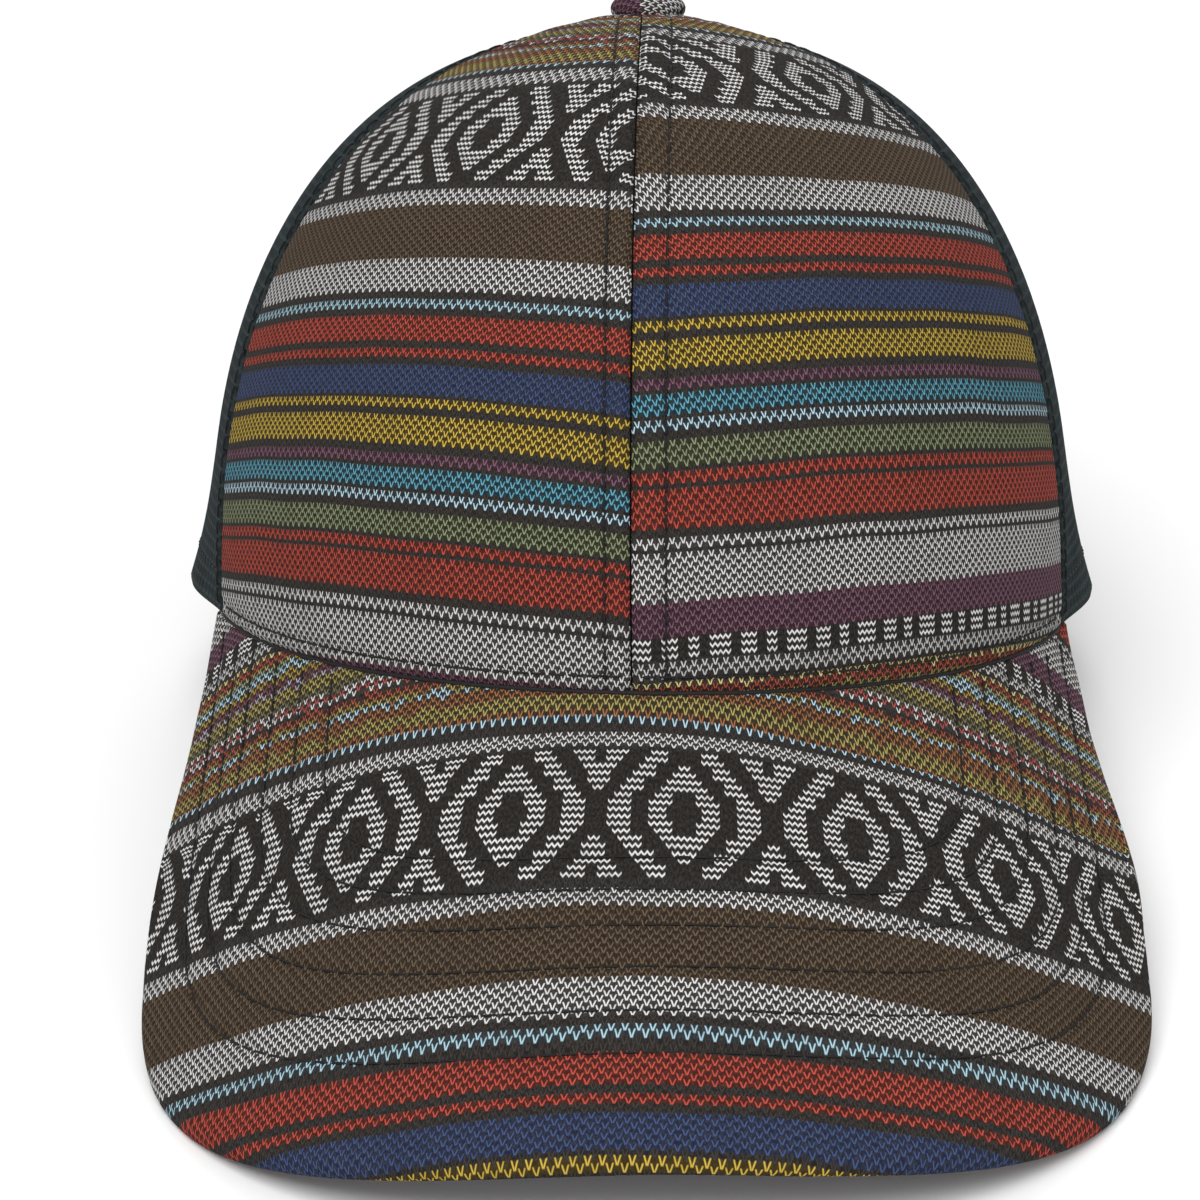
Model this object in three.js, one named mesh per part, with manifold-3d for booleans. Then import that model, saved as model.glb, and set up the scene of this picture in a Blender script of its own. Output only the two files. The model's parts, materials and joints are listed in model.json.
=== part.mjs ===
// A six-panel cap with a fabric front, net sides and back, an arched peak, a top button and a
// strap across the half-round opening at the back. Units are millimetres.
import * as THREE from 'three';
import { mergeVertices } from 'three/addons/utils/BufferGeometryUtils.js';
import Module from 'manifold-3d';

const wasm = await Module();
wasm.setup();

const DEGREE = Math.PI / 180;

// Crown. Its rim is first drawn level in the XY plane, with the front towards -Y.
const CROWN_HALF_WIDTH = 80;
const CROWN_HALF_LENGTH = 96;
const CROWN_HEIGHT = 102.5;
// 2 gives an elliptical profile, and more gives fuller shoulders.
const CROWN_FULLNESS = 2.32;
// The top leans a little to the wearer's left.
const TOP_LEAN = 1.2;
// The seam down the front stands a little to the wearer's right of the middle.
const CENTRE_SEAM_ANGLE = -1.3 * DEGREE;
const FRONT_SEAM_ANGLE = 69.5 * DEGREE;
const PEAK_CORNER_ANGLE = 73.5 * DEGREE;
const BACK_SEAM_ANGLE = 125 * DEGREE;
const PANEL_TOP_RADIUS = 3.2;
const FRONT_WALL = 1.6;
const NET_WALL = 1.4;
const PIECE_GAP = 0.3;

// The rim lies lower at the sides than at the front, and lowest on the wearer's left.
const RIM_DIP = 2;
const RIM_TWIST = 2;

// The rim of the net flares out beside the peak's corners and fades towards the back.
const SIDE_FLARE = 5.5;
const BACK_FLARE = 1.5;
const FLARE_HEIGHT = 30;

// Net. Its openings are staggered from row to row, like a honeycomb.
const HEM_HEIGHT = 9;
const NET_CELLS_ACROSS = 5;
const NET_ROWS = 6;
const NET_ROW_PITCH = 18;
const NET_BAR = 3.2;
const NET_ZIGZAG = 1.6;
const NET_BORDER_SHARE = 0.2;

// Half-round opening at the back, with a bound edge.
const ARCH_RADIUS = 38;
const ARCH_STRAIGHT = 14;
const BINDING_WIDTH = 5;
const BINDING_PROUD = 0.4;

// Peak
const PEAK_SLOPE = 40 * DEGREE;
const PEAK_LENGTH = 82.3;
const PEAK_HALF_WIDTH = 81;
const PEAK_ARCH_RADIUS = 122;
// From its widest place forward, the peak's outline is a rounded half oblong.
const PEAK_WIDEST_AT = 30;
const PEAK_SQUARENESS = 2.7;
const PEAK_THICKNESS = 3.2;
const PEAK_EDGE_ROUND = 1.1;

// Strap
const STRAP_HEIGHT = 18;
const STRAP_THICKNESS = 1.3;
const STRAP_HALF_ANGLE = 36 * DEGREE;
const STRAP_FLAT_ANGLE = 9 * DEGREE;

// Button
const BUTTON_RADIUS = 7.2;
const BUTTON_HEIGHT = 4.6;

const FABRIC_COLOUR = 0x55504f;
const NET_COLOUR = 0x1d2226;
const STRAP_COLOUR = 0x17181a;

function mix(start, end, share) {
  return start + (end - start) * share;
}

function ease(value) {
  const share = Math.min(Math.max(value, 0), 1);
  return share * share * (3 - 2 * share);
}

// How far the rim stands out of the oval at an angle round the head and a height above the rim.
function flareAt(angle, height) {
  const turn = Math.abs(angle);
  const rise = ease((turn - 70 * DEGREE) / (22 * DEGREE));
  const fall = ease((turn - 90 * DEGREE) / (60 * DEGREE));
  const reach = Math.max(0, 1 - height / FLARE_HEIGHT);
  return rise * mix(SIDE_FLARE, BACK_FLARE, fall) * reach * reach;
}

// The height of the rim at an angle round the head.
function rimHeight(angle) {
  const turn = Math.abs(angle);
  const dip = RIM_DIP * ease(turn / FRONT_SEAM_ANGLE);
  const twist = RIM_TWIST * Math.sin(angle) * ease((150 * DEGREE - turn) / (60 * DEGREE));
  return -dip - twist;
}

// A point of the crown. The angle is 0 at the front and grows towards +X. The rise is 0 at the
// rim and a quarter turn at the top. The depth is measured in from the outer surface.
function crownPoint(angle, rise, depth) {
  const spread = Math.cos(rise) ** (2 / CROWN_FULLNESS);
  const lift = Math.sin(rise) ** (2 / CROWN_FULLNESS);
  const outward = flareAt(angle, CROWN_HEIGHT * lift) - depth;
  return new THREE.Vector3(
    (CROWN_HALF_WIDTH + outward) * spread * Math.sin(angle) + TOP_LEAN * lift * lift,
    -(CROWN_HALF_LENGTH + outward) * spread * Math.cos(angle),
    (CROWN_HEIGHT - depth) * lift + rimHeight(angle) * (1 - lift) ** 2,
  );
}

const CROWN_MEAN_RADIUS = (CROWN_HALF_WIDTH + CROWN_HALF_LENGTH) / 2;
const PANEL_TOP_RISE = Math.acos((PANEL_TOP_RADIUS / CROWN_MEAN_RADIUS) ** (CROWN_FULLNESS / 2));
const CROWN_ARC = ((CROWN_MEAN_RADIUS + CROWN_HEIGHT) / 2) * PANEL_TOP_RISE * 1.02;

// The same place on a panel, as a share of the way from one seam to the next and up to the
// button. Half of the gap between pieces is kept at each seam.
function panelPoint(startAngle, endAngle, across, up, depth) {
  const rise = up * PANEL_TOP_RISE;
  const radius = CROWN_MEAN_RADIUS * Math.cos(rise) ** (2 / CROWN_FULLNESS);
  const margin = PIECE_GAP / 2 / radius;
  const angle = mix(startAngle + margin, endAngle - margin, across);
  return crownPoint(angle, rise, depth);
}

// A closed wall over a grid of cells. Each cell has an outer and an inner face, and a rim closes
// every side that borders an open cell or the end of the grid. With a rounding, the rim round
// the outside gets a line of points along its middle, pushed out by that much.
function wallGeometry({ columns, rows, outer, inner, open = () => false, rounding = 0 }) {
  const positions = [];
  const indices = [];
  const layer = (columns + 1) * (rows + 1);
  for (const face of [outer, inner]) {
    for (let row = 0; row <= rows; row += 1) {
      for (let column = 0; column <= columns; column += 1) {
        positions.push(...face(column, row).toArray());
      }
    }
  }
  const at = (column, row) => row * (columns + 1) + column;
  const pointOf = (index) => new THREE.Vector3().fromArray(positions, index * 3);
  const middles = new Map();
  const middleOf = (column, row) => {
    const top = at(column, row);
    if (!middles.has(top)) {
      const inColumn = Math.min(Math.max(column, 1), columns - 1);
      const inRow = Math.min(Math.max(row, 1), rows - 1);
      const outward = pointOf(top).sub(pointOf(at(inColumn, inRow))).normalize();
      const middle = pointOf(top).add(pointOf(top + layer)).multiplyScalar(0.5);
      middle.addScaledVector(outward, rounding);
      middles.set(top, positions.length / 3);
      positions.push(...middle.toArray());
    }
    return middles.get(top);
  };
  const quad = (a, b, c, d) => indices.push(a, b, c, a, c, d);
  const isSolid = (column, row) =>
    column >= 0 && column < columns && row >= 0 && row < rows && !open(column, row);
  for (let row = 0; row < rows; row += 1) {
    for (let column = 0; column < columns; column += 1) {
      if (!isSolid(column, row)) continue;
      const corners = [[column, row], [column + 1, row], [column + 1, row + 1], [column, row + 1]];
      const [a, b, c, d] = corners.map(([x, y]) => at(x, y));
      quad(a, b, c, d);
      quad(d + layer, c + layer, b + layer, a + layer);
      const neighbours = [[column, row - 1], [column + 1, row], [column, row + 1], [column - 1, row]];
      neighbours.forEach(([x, y], side) => {
        if (isSolid(x, y)) return;
        const from = corners[side];
        const to = corners[(side + 1) % 4];
        const first = at(...from);
        const second = at(...to);
        if (rounding > 0) {
          const firstMiddle = middleOf(...from);
          const secondMiddle = middleOf(...to);
          quad(second, first, firstMiddle, secondMiddle);
          quad(secondMiddle, firstMiddle, first + layer, second + layer);
        } else {
          quad(second, first, first + layer, second + layer);
        }
      });
    }
  }
  const geometry = new THREE.BufferGeometry();
  geometry.setAttribute('position', new THREE.Float32BufferAttribute(positions, 3));
  geometry.setIndex(indices);
  return geometry;
}

// Fabric panels at the front

function frontPanelGeometry(startAngle, endAngle) {
  const columns = 12;
  const rows = 16;
  const face = (depth) => (column, row) =>
    panelPoint(startAngle, endAngle, column / columns, row / rows, depth);
  return wallGeometry({ columns, rows, outer: face(0), inner: face(FRONT_WALL) });
}

// Net panels. Each cell across takes four columns: a bar, half an opening, the bar of the next
// row and the other half. A last column is the bar at the far seam.

const NET_COLUMNS = NET_CELLS_ACROSS * 4 + 1;
const NET_TOP_ROWS = 3;

function netColumnShares() {
  const shares = [0];
  const cell = (1 - NET_BORDER_SHARE / NET_CELLS_ACROSS) / NET_CELLS_ACROSS;
  for (let index = 0; index < NET_CELLS_ACROSS; index += 1) {
    const start = index * cell;
    shares.push(start + cell * NET_BORDER_SHARE);
    shares.push(start + cell / 2);
    shares.push(start + cell * (0.5 + NET_BORDER_SHARE));
    shares.push(start + cell);
  }
  shares.push(1);
  return shares;
}

function netRowHeights() {
  const heights = [0, HEM_HEIGHT];
  for (let index = 0; index < NET_ROWS; index += 1) {
    const start = HEM_HEIGHT + index * NET_ROW_PITCH;
    heights.push(start + NET_ROW_PITCH - NET_BAR);
    heights.push(start + NET_ROW_PITCH);
  }
  const last = heights[heights.length - 1];
  for (let index = 1; index <= NET_TOP_ROWS; index += 1) {
    heights.push(mix(last, CROWN_ARC, index / NET_TOP_ROWS));
  }
  return heights;
}

function netPanelGeometry(startAngle, endAngle) {
  const shares = netColumnShares();
  const heights = netRowHeights();
  const rows = heights.length - 1;
  const lastZigzagRow = 1 + NET_ROWS * 2;
  const face = (depth) => (column, row) => {
    const zigzags = row >= 1 && row <= lastZigzagRow;
    const phase = Math.floor(row / 2) % 2 === 0 ? 1 : -1;
    const atOwnBar = column % 4 < 2 ? 1 : -1;
    const shift = zigzags ? phase * atOwnBar * NET_ZIGZAG : 0;
    const up = (heights[row] + shift) / CROWN_ARC;
    return panelPoint(startAngle, endAngle, shares[column], up, depth);
  };
  const open = (column, row) => {
    const isOpeningRow = row >= 1 && row < lastZigzagRow && row % 2 === 1;
    const isBorder = column === 0 || column === NET_COLUMNS - 1;
    const barColumn = ((row - 1) / 2) % 2 === 0 ? 0 : 2;
    return isOpeningRow && !isBorder && column % 4 !== barColumn;
  };
  return wallGeometry({ columns: NET_COLUMNS, rows, outer: face(0), inner: face(NET_WALL), open });
}

// Cutting and joining of closed meshes

function solidFrom(geometry) {
  const bare = geometry.clone();
  bare.deleteAttribute('normal');
  bare.deleteAttribute('uv');
  const merged = mergeVertices(bare);
  const vertProperties = new Float32Array(merged.attributes.position.array);
  const triVerts = new Uint32Array(merged.index.array);
  return new wasm.Manifold(new wasm.Mesh({ numProp: 3, vertProperties, triVerts }));
}

function geometryFrom(solid) {
  const mesh = solid.getMesh();
  const geometry = new THREE.BufferGeometry();
  geometry.setAttribute('position', new THREE.Float32BufferAttribute(mesh.vertProperties, 3));
  geometry.setIndex(Array.from(mesh.triVerts));
  return geometry;
}

// Net panels at the back, cut by the half-round opening and bound along its edge

// A bar along Y behind the crown's middle, with the opening's outline made larger by a margin.
function archSolid(margin) {
  const radius = ARCH_RADIUS + margin;
  const foot = 10;
  const reach = 150;
  const outline = new THREE.Shape();
  outline.moveTo(-radius, -foot);
  outline.lineTo(radius, -foot);
  outline.lineTo(radius, ARCH_STRAIGHT);
  outline.absarc(0, ARCH_STRAIGHT, radius, 0, Math.PI, false);
  outline.closePath();
  const options = { depth: reach, bevelEnabled: false, curveSegments: 24 };
  const geometry = new THREE.ExtrudeGeometry(outline, options);
  geometry.rotateX(90 * DEGREE);
  geometry.translate(0, reach, 0);
  return solidFrom(geometry);
}

function bindingGeometry(startAngle, endAngle) {
  const columns = 12;
  const rows = 10;
  const reach = (ARCH_STRAIGHT + ARCH_RADIUS + BINDING_WIDTH * 2.5) / CROWN_ARC;
  const face = (depth) => (column, row) =>
    panelPoint(startAngle, endAngle, column / columns, (row / rows) * reach, depth);
  const inner = face(NET_WALL + BINDING_PROUD);
  return wallGeometry({ columns, rows, outer: face(-BINDING_PROUD), inner });
}

function backPanelGeometry(startAngle, endAngle) {
  const opening = archSolid(0);
  const bound = archSolid(BINDING_WIDTH);
  const net = solidFrom(netPanelGeometry(startAngle, endAngle));
  const band = solidFrom(bindingGeometry(startAngle, endAngle));
  const binding = band.intersect(bound).subtract(opening);
  return geometryFrom(net.subtract(archSolid(BINDING_WIDTH / 2)).add(binding));
}

// Peak. It is a sheet that slopes down from the front of the rim. Its arch follows the rim at
// the seam and eases to a wider round towards the front edge.

// The sheet's point at a share of its width, from -1 to 1, and of the way from the seam to the
// front edge. Reach is measured down the slope from the middle of the seam, and the drop is how
// far the arch lies below that slope.
function peakPoint(across, forward) {
  const rimAngle = across * PEAK_CORNER_ANGLE;
  const rimX = CROWN_HALF_WIDTH * Math.sin(rimAngle);
  const rimDrop = CROWN_HALF_LENGTH * Math.sin(PEAK_SLOPE) * (1 - Math.cos(rimAngle));
  const rimReach = -rimDrop / Math.tan(PEAK_SLOPE);
  const edgeAngle = across * 90 * DEGREE;
  const power = 2 / PEAK_SQUARENESS;
  const edgeX = PEAK_HALF_WIDTH * Math.sign(across) * Math.abs(Math.sin(edgeAngle)) ** power;
  const edgeShare = Math.max(Math.cos(edgeAngle), 0) ** power;
  const edgeReach = mix(PEAK_WIDEST_AT, PEAK_LENGTH, edgeShare);
  const x = mix(rimX, edgeX, forward);
  const reach = mix(rimReach, edgeReach, forward);
  const archDrop = PEAK_ARCH_RADIUS - Math.sqrt(PEAK_ARCH_RADIUS ** 2 - x ** 2);
  const drop = mix(rimDrop, archDrop, ease(forward));
  const seamHeight = rimHeight(rimAngle) * (1 - ease(forward)) - PIECE_GAP;
  return new THREE.Vector3(
    x,
    -CROWN_HALF_LENGTH - reach * Math.cos(PEAK_SLOPE) + drop * Math.sin(PEAK_SLOPE),
    seamHeight - reach * Math.sin(PEAK_SLOPE) - drop * Math.cos(PEAK_SLOPE),
  );
}

function peakNormal(across, forward) {
  const step = 0.004;
  const alongX = peakPoint(across + step, forward).sub(peakPoint(across - step, forward));
  const near = Math.max(forward - step, 0);
  const far = Math.min(forward + step, 1);
  const alongReach = peakPoint(across, near).sub(peakPoint(across, far));
  return alongX.cross(alongReach).normalize();
}

const CORNER_CROWDING = 62 * DEGREE;

function peakGeometry() {
  const columns = 30;
  const rows = 12;
  const face = (depth) => (column, row) => {
    // The columns crowd towards the rounded corners.
    const spread = (column / columns) * 2 - 1;
    const across = Math.sin(spread * CORNER_CROWDING) / Math.sin(CORNER_CROWDING);
    const forward = 1 - row / rows;
    const inside = Math.min(Math.max(across, -0.985), 0.985);
    return peakPoint(across, forward).addScaledVector(peakNormal(inside, forward), -depth);
  };
  const inner = face(PEAK_THICKNESS);
  return wallGeometry({ columns, rows, outer: face(0), inner, rounding: PEAK_EDGE_ROUND });
}

// Rest. The cap stands on the strap's lower edge and on the lowest points of the peak.

const STRAP_DEPTH = NET_WALL + BINDING_PROUD + PIECE_GAP;
const REST_REAR = crownPoint(180 * DEGREE, 0, STRAP_DEPTH);

function restPitch(geometry) {
  const positions = geometry.attributes.position;
  let steepest = 0;
  for (let index = 0; index < positions.count; index += 1) {
    const ahead = REST_REAR.y - positions.getY(index);
    const below = REST_REAR.z - positions.getZ(index);
    steepest = Math.max(steepest, Math.atan2(below, ahead));
  }
  return steepest;
}

// Strap. Around the middle of the back its lower edge lies flat on the surface below.

function strapGeometry(pitch) {
  const columns = 24;
  const rows = 3;
  const topRise = Math.asin((STRAP_HEIGHT / CROWN_HEIGHT) ** (CROWN_FULLNESS / 2));
  const flatReach = REST_REAR.y * (1 - Math.cos(STRAP_FLAT_ANGLE));
  const face = (depth) => (column, row) => {
    const turn = mix(-STRAP_HALF_ANGLE, STRAP_HALF_ANGLE, column / columns);
    const point = crownPoint(180 * DEGREE + turn, (row / rows) * topRise, depth);
    if (row === 0) {
      const isFlat = Math.abs(turn) <= STRAP_FLAT_ANGLE + 1e-6;
      const ahead = isFlat ? REST_REAR.y - point.y : flatReach;
      point.z = REST_REAR.z - ahead * Math.tan(pitch);
    }
    return point;
  };
  const inner = face(STRAP_DEPTH + STRAP_THICKNESS);
  return wallGeometry({ columns, rows, outer: face(STRAP_DEPTH), inner });
}

// Button. A low dome with a rolled edge, on the flat top of the crown.

function buttonGeometry() {
  const profile = [new THREE.Vector2(0, 0)];
  const roll = BUTTON_HEIGHT * 0.3;
  profile.push(new THREE.Vector2(BUTTON_RADIUS - roll * 0.8, 0));
  const steps = 9;
  for (let index = 0; index < steps; index += 1) {
    const turn = (index / steps) * 90 * DEGREE;
    const radius = BUTTON_RADIUS * Math.cos(turn) ** 0.9;
    profile.push(new THREE.Vector2(radius, roll + (BUTTON_HEIGHT - roll) * Math.sin(turn)));
  }
  profile.push(new THREE.Vector2(0, BUTTON_HEIGHT));
  const geometry = new THREE.LatheGeometry(profile, 24);
  geometry.rotateX(90 * DEGREE);
  geometry.translate(TOP_LEAN, 0, CROWN_HEIGHT + PIECE_GAP);
  return geometry;
}

// Assembly

const cap = new THREE.Group();

function addPiece(name, geometry, color, roughness) {
  const material = new THREE.MeshStandardMaterial({ color, roughness, metalness: 0 });
  const piece = new THREE.Mesh(geometry, material);
  piece.name = name;
  cap.add(piece);
}

const peak = peakGeometry();
const pitch = restPitch(peak);
const halfTurn = 180 * DEGREE;

// Left and right are the wearer's, so left is towards +X.
addPiece('front_panel_left', frontPanelGeometry(CENTRE_SEAM_ANGLE, FRONT_SEAM_ANGLE), FABRIC_COLOUR, 0.9);
addPiece('front_panel_right', frontPanelGeometry(-FRONT_SEAM_ANGLE, CENTRE_SEAM_ANGLE), FABRIC_COLOUR, 0.9);
addPiece('side_net_left', netPanelGeometry(FRONT_SEAM_ANGLE, BACK_SEAM_ANGLE), NET_COLOUR, 0.6);
addPiece('side_net_right', netPanelGeometry(-BACK_SEAM_ANGLE, -FRONT_SEAM_ANGLE), NET_COLOUR, 0.6);
addPiece('back_net_left', backPanelGeometry(BACK_SEAM_ANGLE, halfTurn), NET_COLOUR, 0.6);
addPiece('back_net_right', backPanelGeometry(-halfTurn, -BACK_SEAM_ANGLE), NET_COLOUR, 0.6);
addPiece('peak', peak, FABRIC_COLOUR, 0.9);
addPiece('snap_strap', strapGeometry(pitch), STRAP_COLOUR, 0.45);
addPiece('top_button', buttonGeometry(), FABRIC_COLOUR, 0.9);

// The cap is pitched until it stands, and set down over the middle of its own floor area.
cap.rotation.x = -pitch;
cap.updateMatrixWorld(true);
const size = new THREE.Box3().setFromObject(cap, true);
cap.position.set(-(size.min.x + size.max.x) / 2, -(size.min.y + size.max.y) / 2, -size.min.z);

export default cap;
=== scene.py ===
import json
import math

import bpy
import numpy as np
from mathutils import Matrix, Vector


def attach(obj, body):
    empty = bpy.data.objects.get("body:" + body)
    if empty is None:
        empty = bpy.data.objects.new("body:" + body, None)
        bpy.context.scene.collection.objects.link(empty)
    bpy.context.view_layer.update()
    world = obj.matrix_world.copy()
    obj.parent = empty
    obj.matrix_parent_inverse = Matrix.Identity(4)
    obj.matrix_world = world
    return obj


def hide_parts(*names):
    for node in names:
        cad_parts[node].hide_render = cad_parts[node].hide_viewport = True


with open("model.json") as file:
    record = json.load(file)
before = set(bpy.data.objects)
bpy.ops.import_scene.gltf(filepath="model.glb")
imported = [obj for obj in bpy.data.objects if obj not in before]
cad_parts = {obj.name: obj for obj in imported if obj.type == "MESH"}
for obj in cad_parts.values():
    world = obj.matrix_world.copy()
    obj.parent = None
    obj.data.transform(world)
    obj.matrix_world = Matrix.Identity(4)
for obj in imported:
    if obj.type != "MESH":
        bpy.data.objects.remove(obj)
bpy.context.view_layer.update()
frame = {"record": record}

METRES_PER_MM = 0.001
DEGREE = math.pi / 180

# Sizes in millimetres. The crown's rim is first drawn level, with its front to -Y.
CROWN_HALF_WIDTH = 80.0
CROWN_HALF_LENGTH = 96.0
CROWN_HEIGHT = 102.5
CROWN_FULLNESS = 2.32
TOP_LEAN = 1.2
CENTRE_SEAM_ANGLE = -1.3 * DEGREE
FRONT_SEAM_ANGLE = 69.5 * DEGREE
PEAK_CORNER_ANGLE = 73.5 * DEGREE
BACK_SEAM_ANGLE = 125 * DEGREE
HALF_TURN = 180 * DEGREE
PANEL_TOP_RADIUS = 3.2
FRONT_WALL = 1.6
NET_WALL = 1.4
PIECE_GAP = 0.3
RIM_DIP = 2.0
RIM_TWIST = 2.0
TWIST_END = 150 * DEGREE
TWIST_FADE = 60 * DEGREE
SIDE_FLARE = 5.5
SIDE_FLARE_FROM = 70 * DEGREE
SIDE_FLARE_TURN = 22 * DEGREE
BACK_FLARE = 1.5
BACK_FLARE_FROM = 90 * DEGREE
BACK_FLARE_TURN = 60 * DEGREE
FLARE_HEIGHT = 30.0
ARCH_RADIUS = 38.0
ARCH_STRAIGHT = 14.0
BINDING_WIDTH = 5.0
BINDING_PROUD = 0.4
PEAK_SLOPE = 40 * DEGREE
PEAK_LENGTH = 82.3
PEAK_HALF_WIDTH = 81.0
PEAK_ARCH_RADIUS = 122.0
PEAK_WIDEST_AT = 30.0
PEAK_SQUARENESS = 2.7
PEAK_THICKNESS = 3.2
PEAK_EDGE_ROUND = 1.1
STRAP_HEIGHT = 18.0
STRAP_THICKNESS = 1.3
STRAP_HALF_ANGLE = 36 * DEGREE

# The knit front stands a little higher round the button, and the net behind it a little lower.
TOP_SWELL = 1.6
TOP_SWELL_SPREAD = 0.36
NET_DROP = 0.7
NET_DROP_SPREAD = 0.75
NET_DROP_FADE = 0.5
FRONT_FADE = 10 * DEGREE

# The level rim's middle lies 2 mm above the mount of the head opening, whose axis points down.
MOUTH = next(m for m in frame["record"]["mounts"] if m["name"] == "head_opening")
MOUTH_DEPTH = 2.0
PITCH = math.asin(-MOUTH["axis"][1])
MOUTH_DOWN = np.array([0.0, -math.sin(PITCH), -math.cos(PITCH)])
RIM_MIDDLE = np.array(MOUTH["pos_m"]) / METRES_PER_MM - MOUTH_DOWN * MOUTH_DEPTH


# Shapes of the cap

def ease(value):
    share = np.clip(value, 0, 1)
    return share * share * (3 - 2 * share)


def mix(start, end, share):
    return start + (end - start) * share


def table_value(table, firsts, seconds, first, second):
    """A number found between the rows and columns of a table, at a first and a second place."""
    down = np.interp(first, firsts, np.arange(len(firsts)))
    along = np.interp(second, seconds, np.arange(len(seconds)))
    row = np.minimum(down.astype(int), len(firsts) - 2)
    column = np.minimum(along.astype(int), len(seconds) - 2)
    values = np.array(table)
    near = mix(values[row, column], values[row, column + 1], along - column)
    far = mix(values[row + 1, column], values[row + 1, column + 1], along - column)
    return mix(near, far, down - row)


def placed(points):
    """Points of the level cap in millimetres, pitched as the cap stands, in metres."""
    x, y, z = points[..., 0], points[..., 1], points[..., 2]
    turned = np.stack([
        x,
        y * math.cos(PITCH) + z * math.sin(PITCH),
        -y * math.sin(PITCH) + z * math.cos(PITCH),
    ], axis=-1)
    return (turned + RIM_MIDDLE) * METRES_PER_MM


def flare(angle, height):
    turn = np.abs(angle)
    rise = ease((turn - SIDE_FLARE_FROM) / SIDE_FLARE_TURN)
    fall = ease((turn - BACK_FLARE_FROM) / BACK_FLARE_TURN)
    reach = np.maximum(0, 1 - height / FLARE_HEIGHT)
    return rise * mix(SIDE_FLARE, BACK_FLARE, fall) * reach * reach


def rim_height(angle):
    turn = np.abs(angle)
    dip = RIM_DIP * ease(turn / FRONT_SEAM_ANGLE)
    twist = RIM_TWIST * np.sin(angle) * ease((TWIST_END - turn) / TWIST_FADE)
    return -dip - twist


def crown(angle, rise, depth=0.0):
    """A point of the crown: the angle is 0 at the front, the rise is 0 at the rim."""
    angle, rise, depth = np.broadcast_arrays(angle, rise, depth)
    power = 2 / CROWN_FULLNESS
    spread = np.cos(rise) ** power
    lift = np.sin(rise) ** power
    outward = flare(angle, CROWN_HEIGHT * lift) - depth
    front_share = ease(1 + (FRONT_SEAM_ANGLE - np.abs(angle)) / FRONT_FADE)
    swell = TOP_SWELL * ease(1 - spread / TOP_SWELL_SPREAD) * front_share
    drop = NET_DROP * ease((NET_DROP_SPREAD - spread) / NET_DROP_FADE) * (1 - front_share)
    return np.stack([
        (CROWN_HALF_WIDTH + outward) * spread * np.sin(angle) + TOP_LEAN * lift * lift,
        -(CROWN_HALF_LENGTH + outward) * spread * np.cos(angle),
        (CROWN_HEIGHT - depth) * lift + rim_height(angle) * (1 - lift) ** 2 + swell - drop,
    ], axis=-1)


CROWN_MEAN_RADIUS = (CROWN_HALF_WIDTH + CROWN_HALF_LENGTH) / 2
TOP_RISE = math.acos((PANEL_TOP_RADIUS / CROWN_MEAN_RADIUS) ** (CROWN_FULLNESS / 2))


def spread_at(rise):
    return np.cos(rise) ** (2 / CROWN_FULLNESS)


class Arc:
    """Lengths along a line of the crown, both ways: place to length and length to place."""

    def __init__(self, places, points):
        steps = np.linalg.norm(np.diff(points, axis=0), axis=1)
        self.places = places
        self.lengths = np.concatenate([[0], np.cumsum(steps)])
        self.total = self.lengths[-1]

    def length(self, place):
        return np.interp(place, self.places, self.lengths)

    def place(self, length):
        return np.interp(length, self.lengths, self.places)


def meridian(angle):
    rises = np.linspace(0, TOP_RISE, 600)
    return Arc(rises, crown(angle, rises))


def rim_circle():
    past_back = HALF_TURN * 1.1
    angles = np.linspace(-past_back, past_back, 2400)
    level = [CROWN_HALF_WIDTH * np.sin(angles), -CROWN_HALF_LENGTH * np.cos(angles)]
    return Arc(angles, np.stack(level, axis=-1))


RIM = rim_circle()


def peak(across, forward):
    """A point of the peak's upper face, with its width place and its reach down the slope."""
    rim_angle = across * PEAK_CORNER_ANGLE
    rim_x = CROWN_HALF_WIDTH * np.sin(rim_angle)
    rim_drop = CROWN_HALF_LENGTH * math.sin(PEAK_SLOPE) * (1 - np.cos(rim_angle))
    rim_reach = -rim_drop / math.tan(PEAK_SLOPE)
    edge_angle = across * 90 * DEGREE
    power = 2 / PEAK_SQUARENESS
    edge_x = PEAK_HALF_WIDTH * np.sign(across) * np.abs(np.sin(edge_angle)) ** power
    edge_reach = mix(PEAK_WIDEST_AT, PEAK_LENGTH, np.maximum(np.cos(edge_angle), 0) ** power)
    x = mix(rim_x, edge_x, forward)
    reach = mix(rim_reach, edge_reach, forward)
    arch_drop = PEAK_ARCH_RADIUS - np.sqrt(PEAK_ARCH_RADIUS ** 2 - x ** 2)
    drop = mix(rim_drop, arch_drop, ease(forward))
    seam_height = rim_height(rim_angle) * (1 - ease(forward)) - PIECE_GAP
    point = np.stack([
        x,
        -CROWN_HALF_LENGTH - reach * math.cos(PEAK_SLOPE) + drop * math.sin(PEAK_SLOPE),
        seam_height - reach * math.sin(PEAK_SLOPE) - drop * math.cos(PEAK_SLOPE),
    ], axis=-1)
    return point, x, reach


def peak_normal(across, forward):
    step = 0.004
    across = np.clip(across, -0.985, 0.985)
    along_x = peak(across + step, forward)[0] - peak(across - step, forward)[0]
    near = np.maximum(forward - step, 0)
    far = np.minimum(forward + step, 1)
    along_reach = peak(across, near)[0] - peak(across, far)[0]
    return unit(np.cross(along_x, along_reach))


def unit(vectors):
    return vectors / np.maximum(np.linalg.norm(vectors, axis=-1, keepdims=True), 1e-9)


# Meshes

def add_object(name, data):
    item = bpy.data.objects.new(name, data)
    bpy.context.scene.collection.objects.link(item)
    return item


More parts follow.
